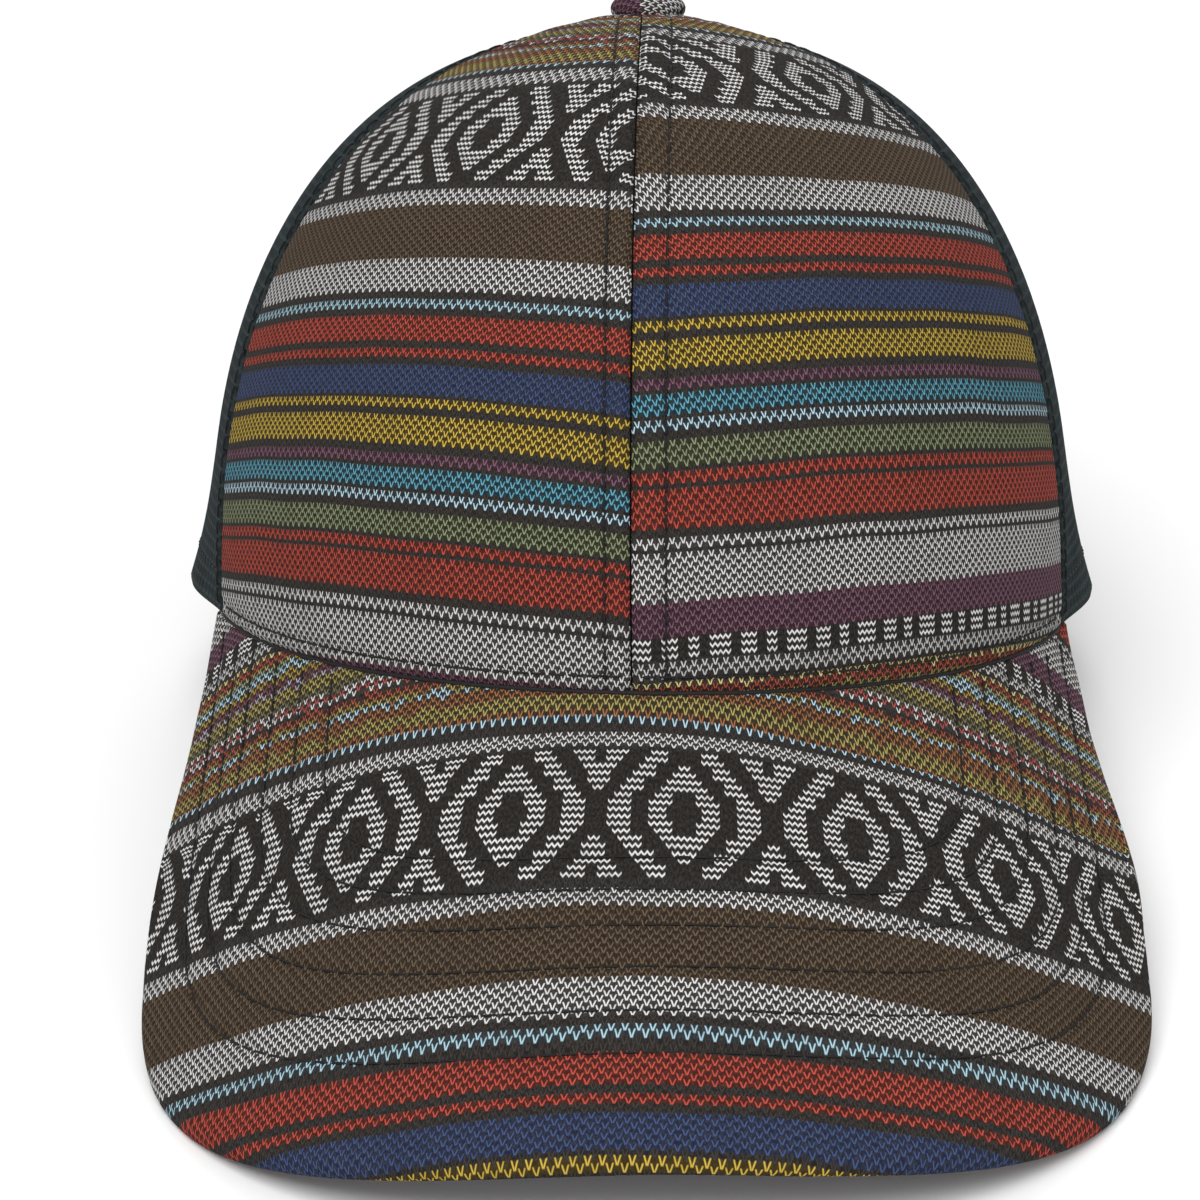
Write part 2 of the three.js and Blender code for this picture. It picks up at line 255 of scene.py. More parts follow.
def add_piece(name, slot, materials, points, faces, fabric=None, kinds=None, nodes=()):
    """A smooth piece from millimetre points, with the cloth's own coordinates as a UV map."""
    mesh = bpy.data.meshes.new(name)
    spots = placed(np.asarray(points))
    # The surface that the cap stands on presses its lowest edges flat.
    spots[:, 2] = np.maximum(spots[:, 2], 0)
    mesh.from_pydata(spots.tolist(), [], [list(map(int, f)) for f in faces])
    if fabric is not None:
        layer = mesh.uv_layers.new(name="fabric")
        corners = np.zeros(len(mesh.loops), np.int32)
        mesh.loops.foreach_get("vertex_index", corners)
        layer.data.foreach_set("uv", np.asarray(fabric, np.float32)[corners].ravel())
    if kinds is not None:
        mesh.polygons.foreach_set("material_index", np.asarray(kinds, np.int32))
    mesh.polygons.foreach_set("use_smooth", np.ones(len(mesh.polygons), bool))
    for material in materials:
        mesh.materials.append(material)
    mesh.update()
    piece = add_object(name, mesh)
    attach(piece, "root")
    if nodes:
        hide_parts(*nodes)


def grid_faces(rows, columns):
    index = np.arange(rows * columns).reshape(rows, columns)
    corners = [index[:-1, :-1], index[:-1, 1:], index[1:, 1:], index[1:, :-1]]
    return np.stack(corners, axis=-1).reshape(-1, 4)


def grid_border(rows, columns):
    index = np.arange(rows * columns).reshape(rows, columns)
    sides = [index[0, :-1], index[:-1, -1], index[-1, :0:-1], index[:0:-1, 0]]
    return np.concatenate(sides)


# The share of the peak's thickness by which its cloth runs on over the rim.
RIM_CLOTH_SHARE = 0.3


def wall(outer, inner, fabric=None, rounding=0.0, rim_steps=1):
    """A closed wall between two grids of points, as (points, faces, cloth places, kinds).

    Its rim may bulge outwards by a rounding. Kinds are 0 outside, 1 inside and 2 on the rim.
    """
    rows, columns = outer.shape[:2]
    layer = rows * columns
    points = [outer.reshape(-1, 3), inner.reshape(-1, 3)]
    cloth = None if fabric is None else [fabric.reshape(-1, 2), fabric.reshape(-1, 2)]
    faces = [grid_faces(rows, columns), grid_faces(rows, columns)[:, ::-1] + layer]
    border = grid_border(rows, columns)
    row, column = border // columns, border % columns
    inside = np.clip(row, 1, rows - 2) * columns + np.clip(column, 1, columns - 2)
    outward = unit(points[0][border] - points[0][inside])
    rings = [border]
    total = 2 * layer
    for step in range(1, rim_steps):
        turn = math.pi * step / rim_steps
        share = (1 - math.cos(turn)) / 2
        bulge = math.sin(turn) * rounding
        points.append(mix(points[0][border], points[1][border], share) + outward * bulge)
        if cloth is not None:
            away = cloth[0][border] - cloth[0][inside]
            length = np.maximum(np.linalg.norm(points[0][border] - points[0][inside], axis=1), 0.05)
            run = rounding * turn + PEAK_THICKNESS * share * RIM_CLOTH_SHARE
            cloth.append(cloth[0][border] + away / length[:, None] * run)
        rings.append(np.arange(total, total + len(border)))
        total += len(border)
    rings.append(border + layer)
    for upper, lower in zip(rings[:-1], rings[1:]):
        after_upper, after_lower = np.roll(upper, -1), np.roll(lower, -1)
        faces.append(np.stack([after_upper, upper, lower, after_lower], axis=-1))
    kinds = np.concatenate([np.full(len(f), min(i, 2)) for i, f in enumerate(faces)])
    cloth = None if cloth is None else np.concatenate(cloth)
    return np.concatenate(points), np.concatenate(faces), cloth, kinds


def tube_faces(rows, columns, turned_over=False):
    """Faces of a closed tube of rings of points, with both of its ends covered."""
    index = np.arange(rows * columns).reshape(rows, columns)
    ahead = np.roll(index, -1, axis=1)
    corners = [index[:-1], ahead[:-1], ahead[1:], index[1:]]
    ends = [index[0][::-1], index[-1]]
    if turned_over:
        corners = corners[:1] + corners[:0:-1]
        ends = [end[::-1] for end in ends]
    return [*np.stack(corners, axis=-1).reshape(-1, 4), *ends]


def tube(path, normals, section):
    """A closed tube whose section, (side, out) pairs in millimetres, follows a path."""
    tangent = unit(np.gradient(path, axis=0))
    side = unit(np.cross(normals, tangent))
    out = unit(np.cross(tangent, side))
    points = path[:, None] + side[:, None] * section[None, :, :1] + out[:, None] * section[None, :, 1:]
    return points.reshape(-1, 3), tube_faces(*points.shape[:2])


def joined(parts):
    """Several shapes, each with points and faces first, as one pair of points and faces."""
    points, faces, start = [], [], 0
    for part_points, part_faces, *_ in parts:
        points.append(part_points)
        faces.extend([[start + int(i) for i in face] for face in part_faces])
        start += len(part_points)
    return np.concatenate(points), faces


# A stitch is a bent thread of five rings, at shares of its pitch, lifted off the cloth.
STITCH_PITCH = 3.0
STITCH_RADIUS = 0.2
STITCH_SHARES = np.array([0.04, 0.16, 0.5, 0.84, 0.96])
STITCH_LIFTS = np.array([-0.35, 0.1, 0.18, 0.1, -0.35])
STITCH_SIZES = np.array([0.5, 0.95, 1.0, 0.95, 0.5]) * STITCH_RADIUS
STITCH_SIDES = 6


def stitches(path, normals):
    """A row of separate stitches that dip into the cloth at both ends, as (points, faces)."""
    arc = np.concatenate([[0], np.cumsum(np.linalg.norm(np.diff(path, axis=0), axis=1))])
    count = max(int(arc[-1] / STITCH_PITCH), 1)
    at = (np.arange(count)[:, None] + STITCH_SHARES[None]) * (arc[-1] / count)
    centre = np.stack([np.interp(at, arc, path[:, i]) for i in range(3)], axis=-1)
    normal = unit(np.stack([np.interp(at, arc, normals[:, i]) for i in range(3)], axis=-1))
    centre = centre + normal * STITCH_LIFTS[None, :, None]
    tangent = unit(np.gradient(centre, axis=1))
    side = unit(np.cross(normal, tangent))
    out = np.cross(tangent, side)
    turns = np.arange(STITCH_SIDES) * 2 * HALF_TURN / STITCH_SIDES
    ring = (side[:, :, None] * np.cos(turns)[None, None, :, None]
            + out[:, :, None] * np.sin(turns)[None, None, :, None])
    points = centre[:, :, None] + ring * STITCH_SIZES[None, :, None, None]
    index = np.arange(points[..., 0].size).reshape(points.shape[:3])
    ahead = np.roll(index, -1, axis=2)
    sides = np.stack([index[:, :-1], ahead[:, :-1], ahead[:, 1:], index[:, 1:]], axis=-1)
    faces = [*sides.reshape(-1, 4), *index[:, 0, ::-1], *index[:, -1]]
    return points.reshape(-1, 3), faces


def add_stitches(name, slot, rows):
    points, faces = joined([stitches(*row) for row in rows])
    add_piece(name, slot, [THREAD], points, faces)


# Formulas on shader nodes

class Output:
    """A number or a colour that varies over a surface, as the output of a shader node."""

    def __init__(self, tree, socket):
        self.tree = tree
        self.socket = socket


def connect(tree, value, slot):
    """Feeds a node's input with a constant or with another node's output."""
    if isinstance(value, Output):
        tree.links.new(value.socket, slot)
    else:
        slot.default_value = value


def blended(tree, data_type, socket_type, share, first, second):
    """The first number or colour where the share is 0, and the second where it is 1."""
    node = tree.nodes.new("ShaderNodeMix")
    node.data_type = data_type
    ends = [s for s in node.inputs if s.type == socket_type][-2:]
    for value, slot in zip((share, first, second), (node.inputs[0], *ends)):
        connect(tree, value, slot)
    return next(s for s in node.outputs if s.type == socket_type)


class Field(Output):
    """A number that varies over a surface."""

    def math(self, operation, *others, clamp=False):
        node = self.tree.nodes.new("ShaderNodeMath")
        node.operation = operation
        node.use_clamp = clamp
        for value, slot in zip((self, *others), node.inputs):
            connect(self.tree, value, slot)
        return Field(self.tree, node.outputs[0])

    def __add__(self, other):
        return self.math("ADD", other)

    def __sub__(self, other):
        return self.math("SUBTRACT", other)

    def __mul__(self, other):
        return self.math("MULTIPLY", other)

    def __truediv__(self, other):
        return self.math("DIVIDE", other)

    def clipped(self):
        """Kept between 0 and 1."""
        return self.math("ADD", 0.0, clamp=True)

    def floor(self):
        return self.math("FLOOR")

    def round(self):
        return self.math("ROUND")

    def size(self):
        return self.math("ABSOLUTE")

    def wrapped(self, count):
        """The place within a repeat."""
        return self.math("FLOORED_MODULO", float(count))

    def fold(self, half):
        """The distance to the nearest whole multiple of twice the half."""
        return self.math("PINGPONG", half)

    def nearest(self, step, offset):
        """The nearest number that lies a whole number of steps from the offset."""
        return ((self - offset) / step).round() * step + offset

    def over(self, limit):
        return self.math("GREATER_THAN", limit)

    def most(self, other):
        return self.math("MAXIMUM", other)

    def edge(self, softness):
        """1 well above zero and 0 well below it, with a soft step between."""
        return (self / softness + 0.5).clipped()

    def power_of_two(self):
        node = self.tree.nodes.new("ShaderNodeMath")
        node.operation = "POWER"
        node.inputs[0].default_value = 2.0
        connect(self.tree, self, node.inputs[1])
        return Field(self.tree, node.outputs[0])

    def blend(self, first, second):
        return Field(self.tree, blended(self.tree, "FLOAT", "VALUE", self, first, second))


class Colour(Output):
    """A colour that varies over a surface."""

    def blend(self, other, share):
        other = other if isinstance(other, Colour) else (*other, 1)
        return Colour(self.tree, blended(self.tree, "RGBA", "RGBA", share, self, other))


def linear(red, green, blue):
    """A display colour from 0 to 255 as the linear colour that shaders take."""
    def channel(value):
        share = value / 255
        return share / 12.92 if share <= 0.04045 else ((share + 0.055) / 1.055) ** 2.4
    return (channel(red), channel(green), channel(blue))


class Surface:
    """A material with its node tree and its main shader."""

    def __init__(self, name, roughness, specular, sheen=0.0):
        self.material = bpy.data.materials.new(name)
        self.material.use_nodes = True
        self.tree = self.material.node_tree
        self.shader = self.tree.nodes["Principled BSDF"]
        self.shader.inputs["Roughness"].default_value = roughness
        self.shader.inputs["Specular IOR Level"].default_value = specular
        self.shader.inputs["Sheen Weight"].default_value = sheen
        self.shader.inputs["Sheen Roughness"].default_value = 0.5

    def split(self, socket):
        """The x, y and z of a vector."""
        node = self.tree.nodes.new("ShaderNodeSeparateXYZ")
        self.tree.links.new(socket, node.inputs[0])
        return [Field(self.tree, part) for part in node.outputs]

    def cloth(self):
        """The cloth's own coordinates: wales across and rows down."""
        node = self.tree.nodes.new("ShaderNodeUVMap")
        node.uv_map = "fabric"
        return self.split(node.outputs[0])[:2]

    def place(self):
        return self.tree.nodes.new("ShaderNodeTexCoord").outputs["Object"]

    def vector(self, x, y):
        node = self.tree.nodes.new("ShaderNodeCombineXYZ")
        for value, slot in zip((x, y), node.inputs):
            connect(self.tree, value, slot)
        return node.outputs[0]

    def noise(self, where, scale, detail, roughness=0.5):
        node = self.tree.nodes.new("ShaderNodeTexNoise")
        self.tree.links.new(where, node.inputs["Vector"])
        node.inputs["Scale"].default_value = scale
        node.inputs["Detail"].default_value = detail
        node.inputs["Roughness"].default_value = roughness
        return Field(self.tree, node.outputs[0])

    def speckle(self, x, y):
        """A random number for each whole pair of numbers."""
        node = self.tree.nodes.new("ShaderNodeTexWhiteNoise")
        node.noise_dimensions = "2D"
        self.tree.links.new(self.vector(x, y), node.inputs["Vector"])
        return Field(self.tree, node.outputs[0])

    def between(self, first, second, share):
        """A colour between two display colours, by a share that varies over the surface."""
        ends = [(*linear(*colour), 1) for colour in (first, second)]
        return Colour(self.tree, blended(self.tree, "RGBA", "RGBA", share, *ends))

    def steps(self, place, stops):
        """Looks a colour up in a list of (start, colour) stops that run from 0 to 1."""
        node = self.tree.nodes.new("ShaderNodeValToRGB")
        ramp = node.color_ramp
        ramp.interpolation = "CONSTANT"
        ramp.elements[0].position = 0
        ramp.elements[0].color = (*stops[0][1], 1)
        ramp.elements.remove(ramp.elements[1])
        for start, colour in stops[1:]:
            ramp.elements.new(start).color = (*colour, 1)
        self.tree.links.new(place.socket, node.inputs[0])
        return node.outputs[0]

    def paint(self, colour):
        self.tree.links.new(colour.socket, self.shader.inputs["Base Color"])

    def emboss(self, height, distance, strength):
        node = self.tree.nodes.new("ShaderNodeBump")
        node.inputs["Distance"].default_value = distance
        node.inputs["Strength"].default_value = strength
        self.tree.links.new(height.socket, node.inputs["Height"])
        self.tree.links.new(node.outputs[0], self.shader.inputs["Normal"])


# The knit's pattern, read from the top of the crown down to its rim. A row is one line of V
# stitches, and each row's stitches stand between those of the next.

# Display colours of a yarn's stitches and of the darker colour between them: the dark ground, tinted with
# the band's yarn as painted shade in the gaps.
YARN = {
    "dark": ((60, 57, 55), (32, 30, 29)),
    "white": ((218, 217, 216), (46, 44, 43)),
    "speckle": ((200, 200, 199), (40, 39, 37)),
    "brown": ((101, 87, 71), (40, 30, 21)),
    "light_blue": ((166, 200, 212), (36, 42, 46)),
    "red": ((184, 78, 66), (64, 24, 18)),
    "blue": ((66, 81, 118), (28, 35, 54)),
    "yellow": ((200, 171, 72), (52, 41, 14)),
    "mauve": ((122, 89, 103), (46, 26, 37)),
    "turquoise": ((98, 162, 182), (17, 40, 48)),
    "pale_blue": ((184, 212, 224), (28, 38, 43)),
    "olive": ((138, 146, 114), (36, 39, 24)),
    "orange": ((158, 107, 72), (46, 32, 23)),
    "brick": ((166, 82, 66), (46, 28, 24)),
    "ochre": ((174, 147, 76), (44, 37, 24)),
    "maroon": ((124, 78, 84), (38, 28, 29)),
    "rose": ((176, 86, 80), (46, 30, 30)),
    "grey_green": ((148, 160, 142), (40, 45, 40)),
    "moss": ((120, 114, 84), (38, 35, 28)),
    "lilac": ((176, 168, 178), (44, 40, 44)),
    "lime": ((172, 158, 94), (44, 38, 24)),
    "cream": ((214, 200, 138), (46, 42, 34)),
}

# Yarn and number of rows. "motif" and "dashes" are bands of zigzag lines.
BANDS = [
    ("cream", 1), ("brick", 2), ("lime", 1), ("grey_green", 1), ("pale_blue", 2), ("ochre", 2),
    ("maroon", 2), ("lilac", 1), ("lime", 3), ("moss", 2), ("white", 1), ("rose", 1),
    ("white", 1), ("dark", 1), ("brick", 1), ("orange", 1), ("lime", 1), ("pale_blue", 1),
    ("orange", 3), ("lime", 3), ("orange", 1), ("pale_blue", 1), ("dark", 2), ("white", 4),
    ("dark", 1), ("motif", 27), ("dark", 2), ("white", 4), ("brown", 15), ("white", 8),
    ("dark", 2), ("light_blue", 2), ("dark", 2), ("red", 6), ("dark", 2), ("red", 2),
    ("dark", 2), ("blue", 7), ("dark", 1), ("yellow", 2), ("dark", 2), ("yellow", 6),
    ("dark", 2), ("mauve", 2), ("dark", 1), ("turquoise", 4), ("dark", 1), ("pale_blue", 2),
    ("dark", 2), ("olive", 5), ("dark", 1), ("red", 2), ("dark", 1), ("red", 7), ("dark", 2),
    ("white", 2), ("dark", 1), ("white", 10), ("mauve", 7), ("dashes", 5), ("speckle", 3),
    ("dark", 1),
]
REPEAT_ROWS = sum(count for _, count in BANDS)


def band_start(name):
    return sum(count for _, count in BANDS[:[band for band, _ in BANDS].index(name)])


# Rows are counted from the upper edge of the brown band.
BROWN_START = band_start("brown")
ZIGZAG_ROWS = 1.5

# A quarter of the motif: half of its repeat in wales, from the middle of an eye, and the upper
# half of its zigzag lines. The other quarters mirror it.
MOTIF_HALF_REPEAT = 15
MOTIF_UPPER_LINES = [
    "...###....####.",
    "...####....###.",
    "#....###....###",
    "##...####....##",
    "###....###...##",
    "####...####...#",
    "..###....###...",
    "..####...####..",
    "...###...####..",
]
MOTIF_LINES = 2 * len(MOTIF_UPPER_LINES)
DASHES = "##..####..###.."
DASH_LINES = 3


def line_code(line):
    """A chart line as a fraction, whose binary places are its wales."""
    return sum(2.0 ** -(place + 1) for place, mark in enumerate(line) if mark == "#")


GROUND_FLECK = linear(112, 102, 92)
# The rows of many colours at the top, and how far a stitch there may borrow from its neighbours.
MIXED_ROWS = 31.0
MIXED_REACH = 1.2
MOST_STOPS = 30
# How far into a step of a ramp a whole number is looked up, clear of both its edges.
STEP_SHARE = 0.9


def band_colour(surface, row, layer):
    """The colour of a row of the repeat, for its stitches (0) or the ground between them with its painted
    shade (1).
    """
    spans = []
    start = 0
    for name, count in BANDS:
        yarn = "dark" if name in ("motif", "dashes") else name
        spans.append((start, start + count, linear(*YARN[yarn][layer])))
        start += count
    ramps = []
    for first in range(0, len(spans), MOST_STOPS):
        group = spans[first:first + MOST_STOPS]
        low, high = group[0][0], group[-1][1]
        stops = [((begin - low) / (high - low), colour) for begin, _, colour in group]
        share = (row - low + STEP_SHARE) / (high - low)
        ramps.append((low, Colour(surface.tree, surface.steps(share, stops))))
    colour = ramps[0][1]
    for low, ramp in ramps[1:]:
        colour = colour.blend(ramp, row.over(low - 0.5))
    return colour


def zigzag_chart(surface, wale, line, is_dash):
    """1 where the chart has a mark, for a place in wales and a whole line of a zigzag band."""
    codes = [line_code(text) for text in MOTIF_UPPER_LINES] + [line_code(DASHES)]
    stops = [(index / len(codes), (code, code, code)) for index, code in enumerate(codes)]
    half = len(MOTIF_UPPER_LINES)
    mirrored = ((line - (half - 0.5)).size() * -1 + (half - 0.5)).round()
    share = (is_dash.blend(mirrored, float(half)) + STEP_SHARE) / len(codes)
    code = Field(surface.tree, surface.steps(share, stops))
    motif_place = wale.fold(MOTIF_HALF_REPEAT).floor()
    dash_place = wale.floor().wrapped(len(DASHES))
    place = is_dash.blend(motif_place, dash_place)
    # A quarter of the last binary place keeps the doubling clear of rounding.
    return ((code + 2.0 ** -17) * (place + 1).power_of_two()).floor().wrapped(2).over(0.5)


# The shape of a V stitch: distances across in wales and heights in rows.
V_FOOT_AT = 0.5
V_RISE = 1.2
V_LEAN = 0.38
V_FOOT = 0.08
V_HALF_STROKE = 0.13
V_SOFTNESS = 0.12
V_HALF_HEIGHT = 0.64
V_END_SOFTNESS = 0.2
# The shape of a zigzag line's teeth, in the same measures.
TOOTH_DEPTH = 1.35
TOOTH_RAISED = 0.36
ZIGZAG_HALF_STROKE = 0.27
ZIGZAG_SOFTNESS = 0.24
# Hand tension sways the rows and wales by parts of a stitch.
ROW_SWAY = 0.8
WALE_SWAY = 0.6
# The light on a stitch at its middle, and how much it changes up the stitch, from one stitch to
# the next, between fibres and over the cloth.
MIDDLE_LIGHT = 0.95
LIGHT_UP_STITCH = -0.25
LIGHT_BY_STITCH = 0.5
LIGHT_BY_FIBRE = 0.6
LIGHT_BY_CLOTH = 0.5
SHADE_SHARE = 0.6
FLECK_SHARE = 0.26


def v_stitch(across, up):
    """The cover of one V: across is the distance from its middle and up its height in rows."""
    lean = ((up + V_FOOT_AT) / V_RISE).clipped()
    arm = (across - (lean * V_LEAN + V_FOOT)).size()
    stroke = (arm * -1 + V_HALF_STROKE).edge(V_SOFTNESS)
    ends = (up.size() * -1 + V_HALF_HEIGHT).edge(V_END_SOFTNESS)
    return stroke * ends


def v_stitches(surface, wale, centred):
    """The cover of the rows of V stitches, with each stitch's row, height and random tone."""
    even_row = centred.nearest(2.0, 0.0)
    odd_row = centred.nearest(2.0, 1.0)
    even_up = even_row - centred
    odd_up = odd_row - centred
    across = wale.fold(1.0)
    even_v = v_stitch(across, even_up)
    odd_v = v_stitch(across * -1 + 1, odd_up)
    is_odd = odd_v.over(even_v)
    row = is_odd.blend(even_row, odd_row).wrapped(REPEAT_ROWS)
    tone = surface.speckle(is_odd.blend(wale.nearest(2.0, 0.0), wale.nearest(2.0, 1.0)), row)
    return even_v.most(odd_v), row, is_odd.blend(even_up, odd_up), tone


def in_band(row, start, count):
    return row.over(start) * (row * -1 + (start + count)).over(0.0)


def zigzag_lines(surface, wale, row):
    """Where the zigzag bands are, the thread of their lines and the marks of their chart."""
    motif_start = float(band_start("motif"))
    dash_start = float(band_start("dashes"))
    in_dash = in_band(row, dash_start, DASH_LINES * ZIGZAG_ROWS)
    in_motif = in_band(row, motif_start, MOTIF_LINES * ZIGZAG_ROWS)
    line_place = (row - in_dash.blend(motif_start, dash_start)) / ZIGZAG_ROWS
    line = line_place.floor()
    up = (line_place - line - 0.5) * -ZIGZAG_ROWS
    # Each tooth of a zigzag line is one wale wide, with its tip down in the middle.
    tooth = (wale + 0.5).fold(0.5) * TOOTH_DEPTH - TOOTH_RAISED
    thread = ((up - tooth).size() * -1 + ZIGZAG_HALF_STROKE).edge(ZIGZAG_SOFTNESS)
    return in_dash.most(in_motif), thread, zigzag_chart(surface, wale, line, in_dash)


def stitch_light(sway, up, tone, fibres):
    light = (up * LIGHT_UP_STITCH + MIDDLE_LIGHT) + (tone - 0.5) * LIGHT_BY_STITCH
    return (light + (fibres - 0.5) * LIGHT_BY_FIBRE + sway * LIGHT_BY_CLOTH).clipped()


def knit_material(name):
    surface = Surface(name, roughness=0.9, specular=0.08)
    wale, row = surface.cloth()
    spot = surface.place()
    sway = surface.noise(spot, scale=60, detail=0) - 0.5
    row = (row + sway * ROW_SWAY).wrapped(REPEAT_ROWS)
    wale = wale + (surface.noise(spot, scale=45, detail=0) - 0.5) * WALE_SWAY
    centred = row - 0.5
    stitch, stitch_row, stitch_up, tone = v_stitches(surface, wale, centred)
    # In the rows of many colours a stitch may take the yarn of a row nearby.
    mixed = (stitch_row * -1 + MIXED_ROWS).over(0.0)
    borrowed = ((tone - 0.5) * MIXED_REACH).round() * mixed
    yarn = band_colour(surface, (stitch_row + borrowed).most(0.0), 0)
    # The ground between the stitches is dark yarn with painted shade, tinted by each band's yarn.
    shaded_ground = band_colour(surface, centred.round(), 1)
    in_zigzag, zigzag, charted = zigzag_lines(surface, wale, row)
    cover = in_zigzag.blend(stitch, zigzag * charted)
    yarn = yarn.blend(linear(*YARN["white"][0]), in_zigzag)
    streaks_at = surface.vector(wale * 2.6, row * 1.1)
    streaks = surface.noise(streaks_at, scale=1, detail=2, roughness=0.7)
    fibres_at = surface.vector(wale * 9.0, row * 4.0)
    fibres = surface.noise(fibres_at, scale=1, detail=1, roughness=0.6)
    shaded_ground = shaded_ground.blend(GROUND_FLECK, (streaks * 2.6 - 1.1).clipped() * FLECK_SHARE)
    dim = yarn.blend((0, 0, 0), SHADE_SHARE)
    yarn = dim.blend(yarn, stitch_light(sway, stitch_up, tone, fibres))
    surface.paint(shaded_ground.blend(yarn, cover))
    relief = in_zigzag.blend(stitch, zigzag) * 0.7 + streaks * 0.4
    surface.emboss(relief, distance=0.00035, strength=0.7)
    return surface.material


# Scales count the grains of a noise in one metre. Ribs are a wave, in radians to the metre.
def plain_cloth_material(name, colour, fleck, ribs_scale=2400, grain_scale=2600, patch_scale=90):
    """A plain twill: fine slanted ribs with flecks of a lighter tone."""
    surface = Surface(name, roughness=0.85, specular=0.2, sheen=0.1)
    spot = surface.place()
    x, y, z = surface.split(spot)
    ribs = ((x + y + z) * ribs_scale).math("SINE") * 0.5 + 0.5
    grain = surface.noise(spot, grain_scale, detail=2, roughness=0.6)
    patches = surface.noise(spot, patch_scale, detail=2)
    twill = surface.between(colour, fleck, (grain * 0.8 + ribs * 0.3 - 0.35).clipped())
    surface.paint(twill.blend((0, 0, 0), patches * 0.3))
    surface.emboss(ribs * 0.6 + grain * 0.6, distance=0.0002, strength=0.5)
    return surface.material


def net_material(name, colour, fleck, grain_scale=3000, patch_scale=120):
    surface = Surface(name, roughness=0.7, specular=0.12)
    spot = surface.place()
    grain = surface.noise(spot, grain_scale, detail=2, roughness=0.6)
    patches = surface.noise(spot, patch_scale, detail=2)
    surface.paint(surface.between(colour, fleck, (grain * patches * 1.5).clipped()))
    surface.emboss(grain, distance=0.00015, strength=0.6)
    return surface.material


def thread_material(name, colour, fleck, grain_scale=4000):
    surface = Surface(name, roughness=0.7, specular=0.15)
    grain = surface.noise(surface.place(), grain_scale, detail=1)
    surface.paint(surface.between(colour, fleck, grain * 0.3))
    surface.emboss(grain, distance=0.0001, strength=0.5)
    return surface.material


def plastic_material(name, colour, scuff, grain_scale=1500, scuff_scale=160):
    surface = Surface(name, roughness=0.38, specular=0.5)
    spot = surface.place()
    grain = surface.noise(spot, grain_scale, detail=3, roughness=0.6)
    scuffs = surface.noise(spot, scuff_scale, detail=3, roughness=0.7)
    surface.paint(surface.between(colour, scuff, (scuffs * 1.6 - 0.75).clipped()))
    surface.emboss(grain, distance=0.00006, strength=0.4)
    return surface.material


KNIT = knit_material("striped_knit")
CLOTH_INSIDE = plain_cloth_material("knit_inside", (52, 50, 50), (96, 92, 90))
TAPE = plain_cloth_material("seam_tape", (22, 26, 28), (46, 50, 52))
NET = net_material("cap_net", (20, 27, 29), (52, 62, 64))
THREAD = thread_material("black_thread", (22, 21, 22), (69, 69, 69))
PLASTIC = plastic_material("strap_plastic", (28, 28, 30), (58, 58, 62))


# Front panels

# Where stripes lie on each front panel. Heights are millimetres up the cloth, and rows are
# counted down from the upper edge of the brown band. Pulls are the rows by which the stretched
# cloth is off that course.
PANEL_STRIPES = {
    "left": {
        "angles": (CENTRE_SEAM_ANGLE, FRONT_SEAM_ANGLE),
        "droop": (-0.0811, 0.0862, 0.1242),
        "heights": (150.0, 120.3, 98.7, 87.4, 76.6, 62.4, 53.6, 37.3, 27.2, 15.2, 9.4, 2.4, -4.0),
        "rows": (-69.0, -33.0, 0.0, 15.0, 29.0, 48.0, 59.0, 78.0, 89.0, 104.0, 111.0, 119.0, 127.0),
        "eye_at": -16.9,
        "pulls": (
            (-0.2, 0.2, 0.8, 0.6, 0.0),
            (-0.1, 0.1, 0.3, 0.0, 0.1),
            (-0.2, 0.3, 0.8, 0.5, 0.6),
            (-0.5, -0.7, 0.2, 0.6, 0.8),
            (1.2, -0.6, -0.9, -0.2, -0.3),
            (7.0, 2.5, -0.7, -1.7, -3.1),
            (16.9, 9.7, 2.7, -2.5, -7.2),
            (29.6, 19.3, 8.3, -2.0, -11.9),
            (43.3, 30.1, 15.8, -0.4, -16.6),
        ),
    },
    "right": {
        "angles": (-FRONT_SEAM_ANGLE, CENTRE_SEAM_ANGLE),
        "droop": (-0.1416, 0.1496, 0.0619),
        "heights": (150.0, 106.4, 84.6, 81.6, 71.1, 42.3, 18.9, 0.5, -4.0),
        "rows": (-91.0, -33.0, -4.0, 0.0, 15.0, 53.0, 82.0, 104.0, 109.4),
        "eye_at": 3.6,
        "pulls": (
            (0.1, -0.8, -1.7, -1.5, 0.0),
            (0.6, 0.3, -0.1, -0.2, -0.1),
            (0.4, 0.7, 0.2, -0.2, -0.6),
            (-1.4, -1.3, -1.3, -1.4, -1.0),
            (-2.4, -1.8, -1.4, -0.9, 0.3),
            (-2.5, -1.6, -0.2, 1.5, 4.1),
            (-1.5, 1.6, 4.8, 7.5, 10.5),
            (0.6, 5.9, 11.1, 15.2, 18.8),
            (3.0, 10.1, 16.8, 22.6, 27.7),
        ),
    },
}
# Where the pulls of the table hold: heights up the cloth, and runs from the panel's middle.
PULL_HEIGHTS = (0.0, 20.0, 40.0, 60.0, 80.0, 95.0, 110.0, 125.0, 145.0)
PULL_RUNS = (-60.0, -30.0, 0.0, 30.0, 60.0)
CROWN_WALE = 0.86
FRONT_MIDDLE = 35 * DEGREE
FRONT_MERIDIAN = meridian(FRONT_MIDDLE)


def stripe_height(angle, rise, droop):
    """Millimetres up the cloth, which was laid over the crown with its stripes drooping."""
    turn = np.abs(angle)
    first, second, high = droop
    fall = first * turn + second * turn ** 2 + high * turn ** 2 * np.sin(rise)
    return FRONT_MERIDIAN.length(rise) + CROWN_HALF_WIDTH * spread_at(rise) * fall


def rows_at(height, stripes):
    heights = np.array(stripes["heights"])[::-1]
    rows = np.array(stripes["rows"])[::-1]
    return np.interp(height, heights, rows)


# Distances of the topstitched rows from the centre seam, to the right and left of the wearer.
TOPSTITCH_AT = (4.2, 5.6)
RIM_STITCH_AT = 3.0
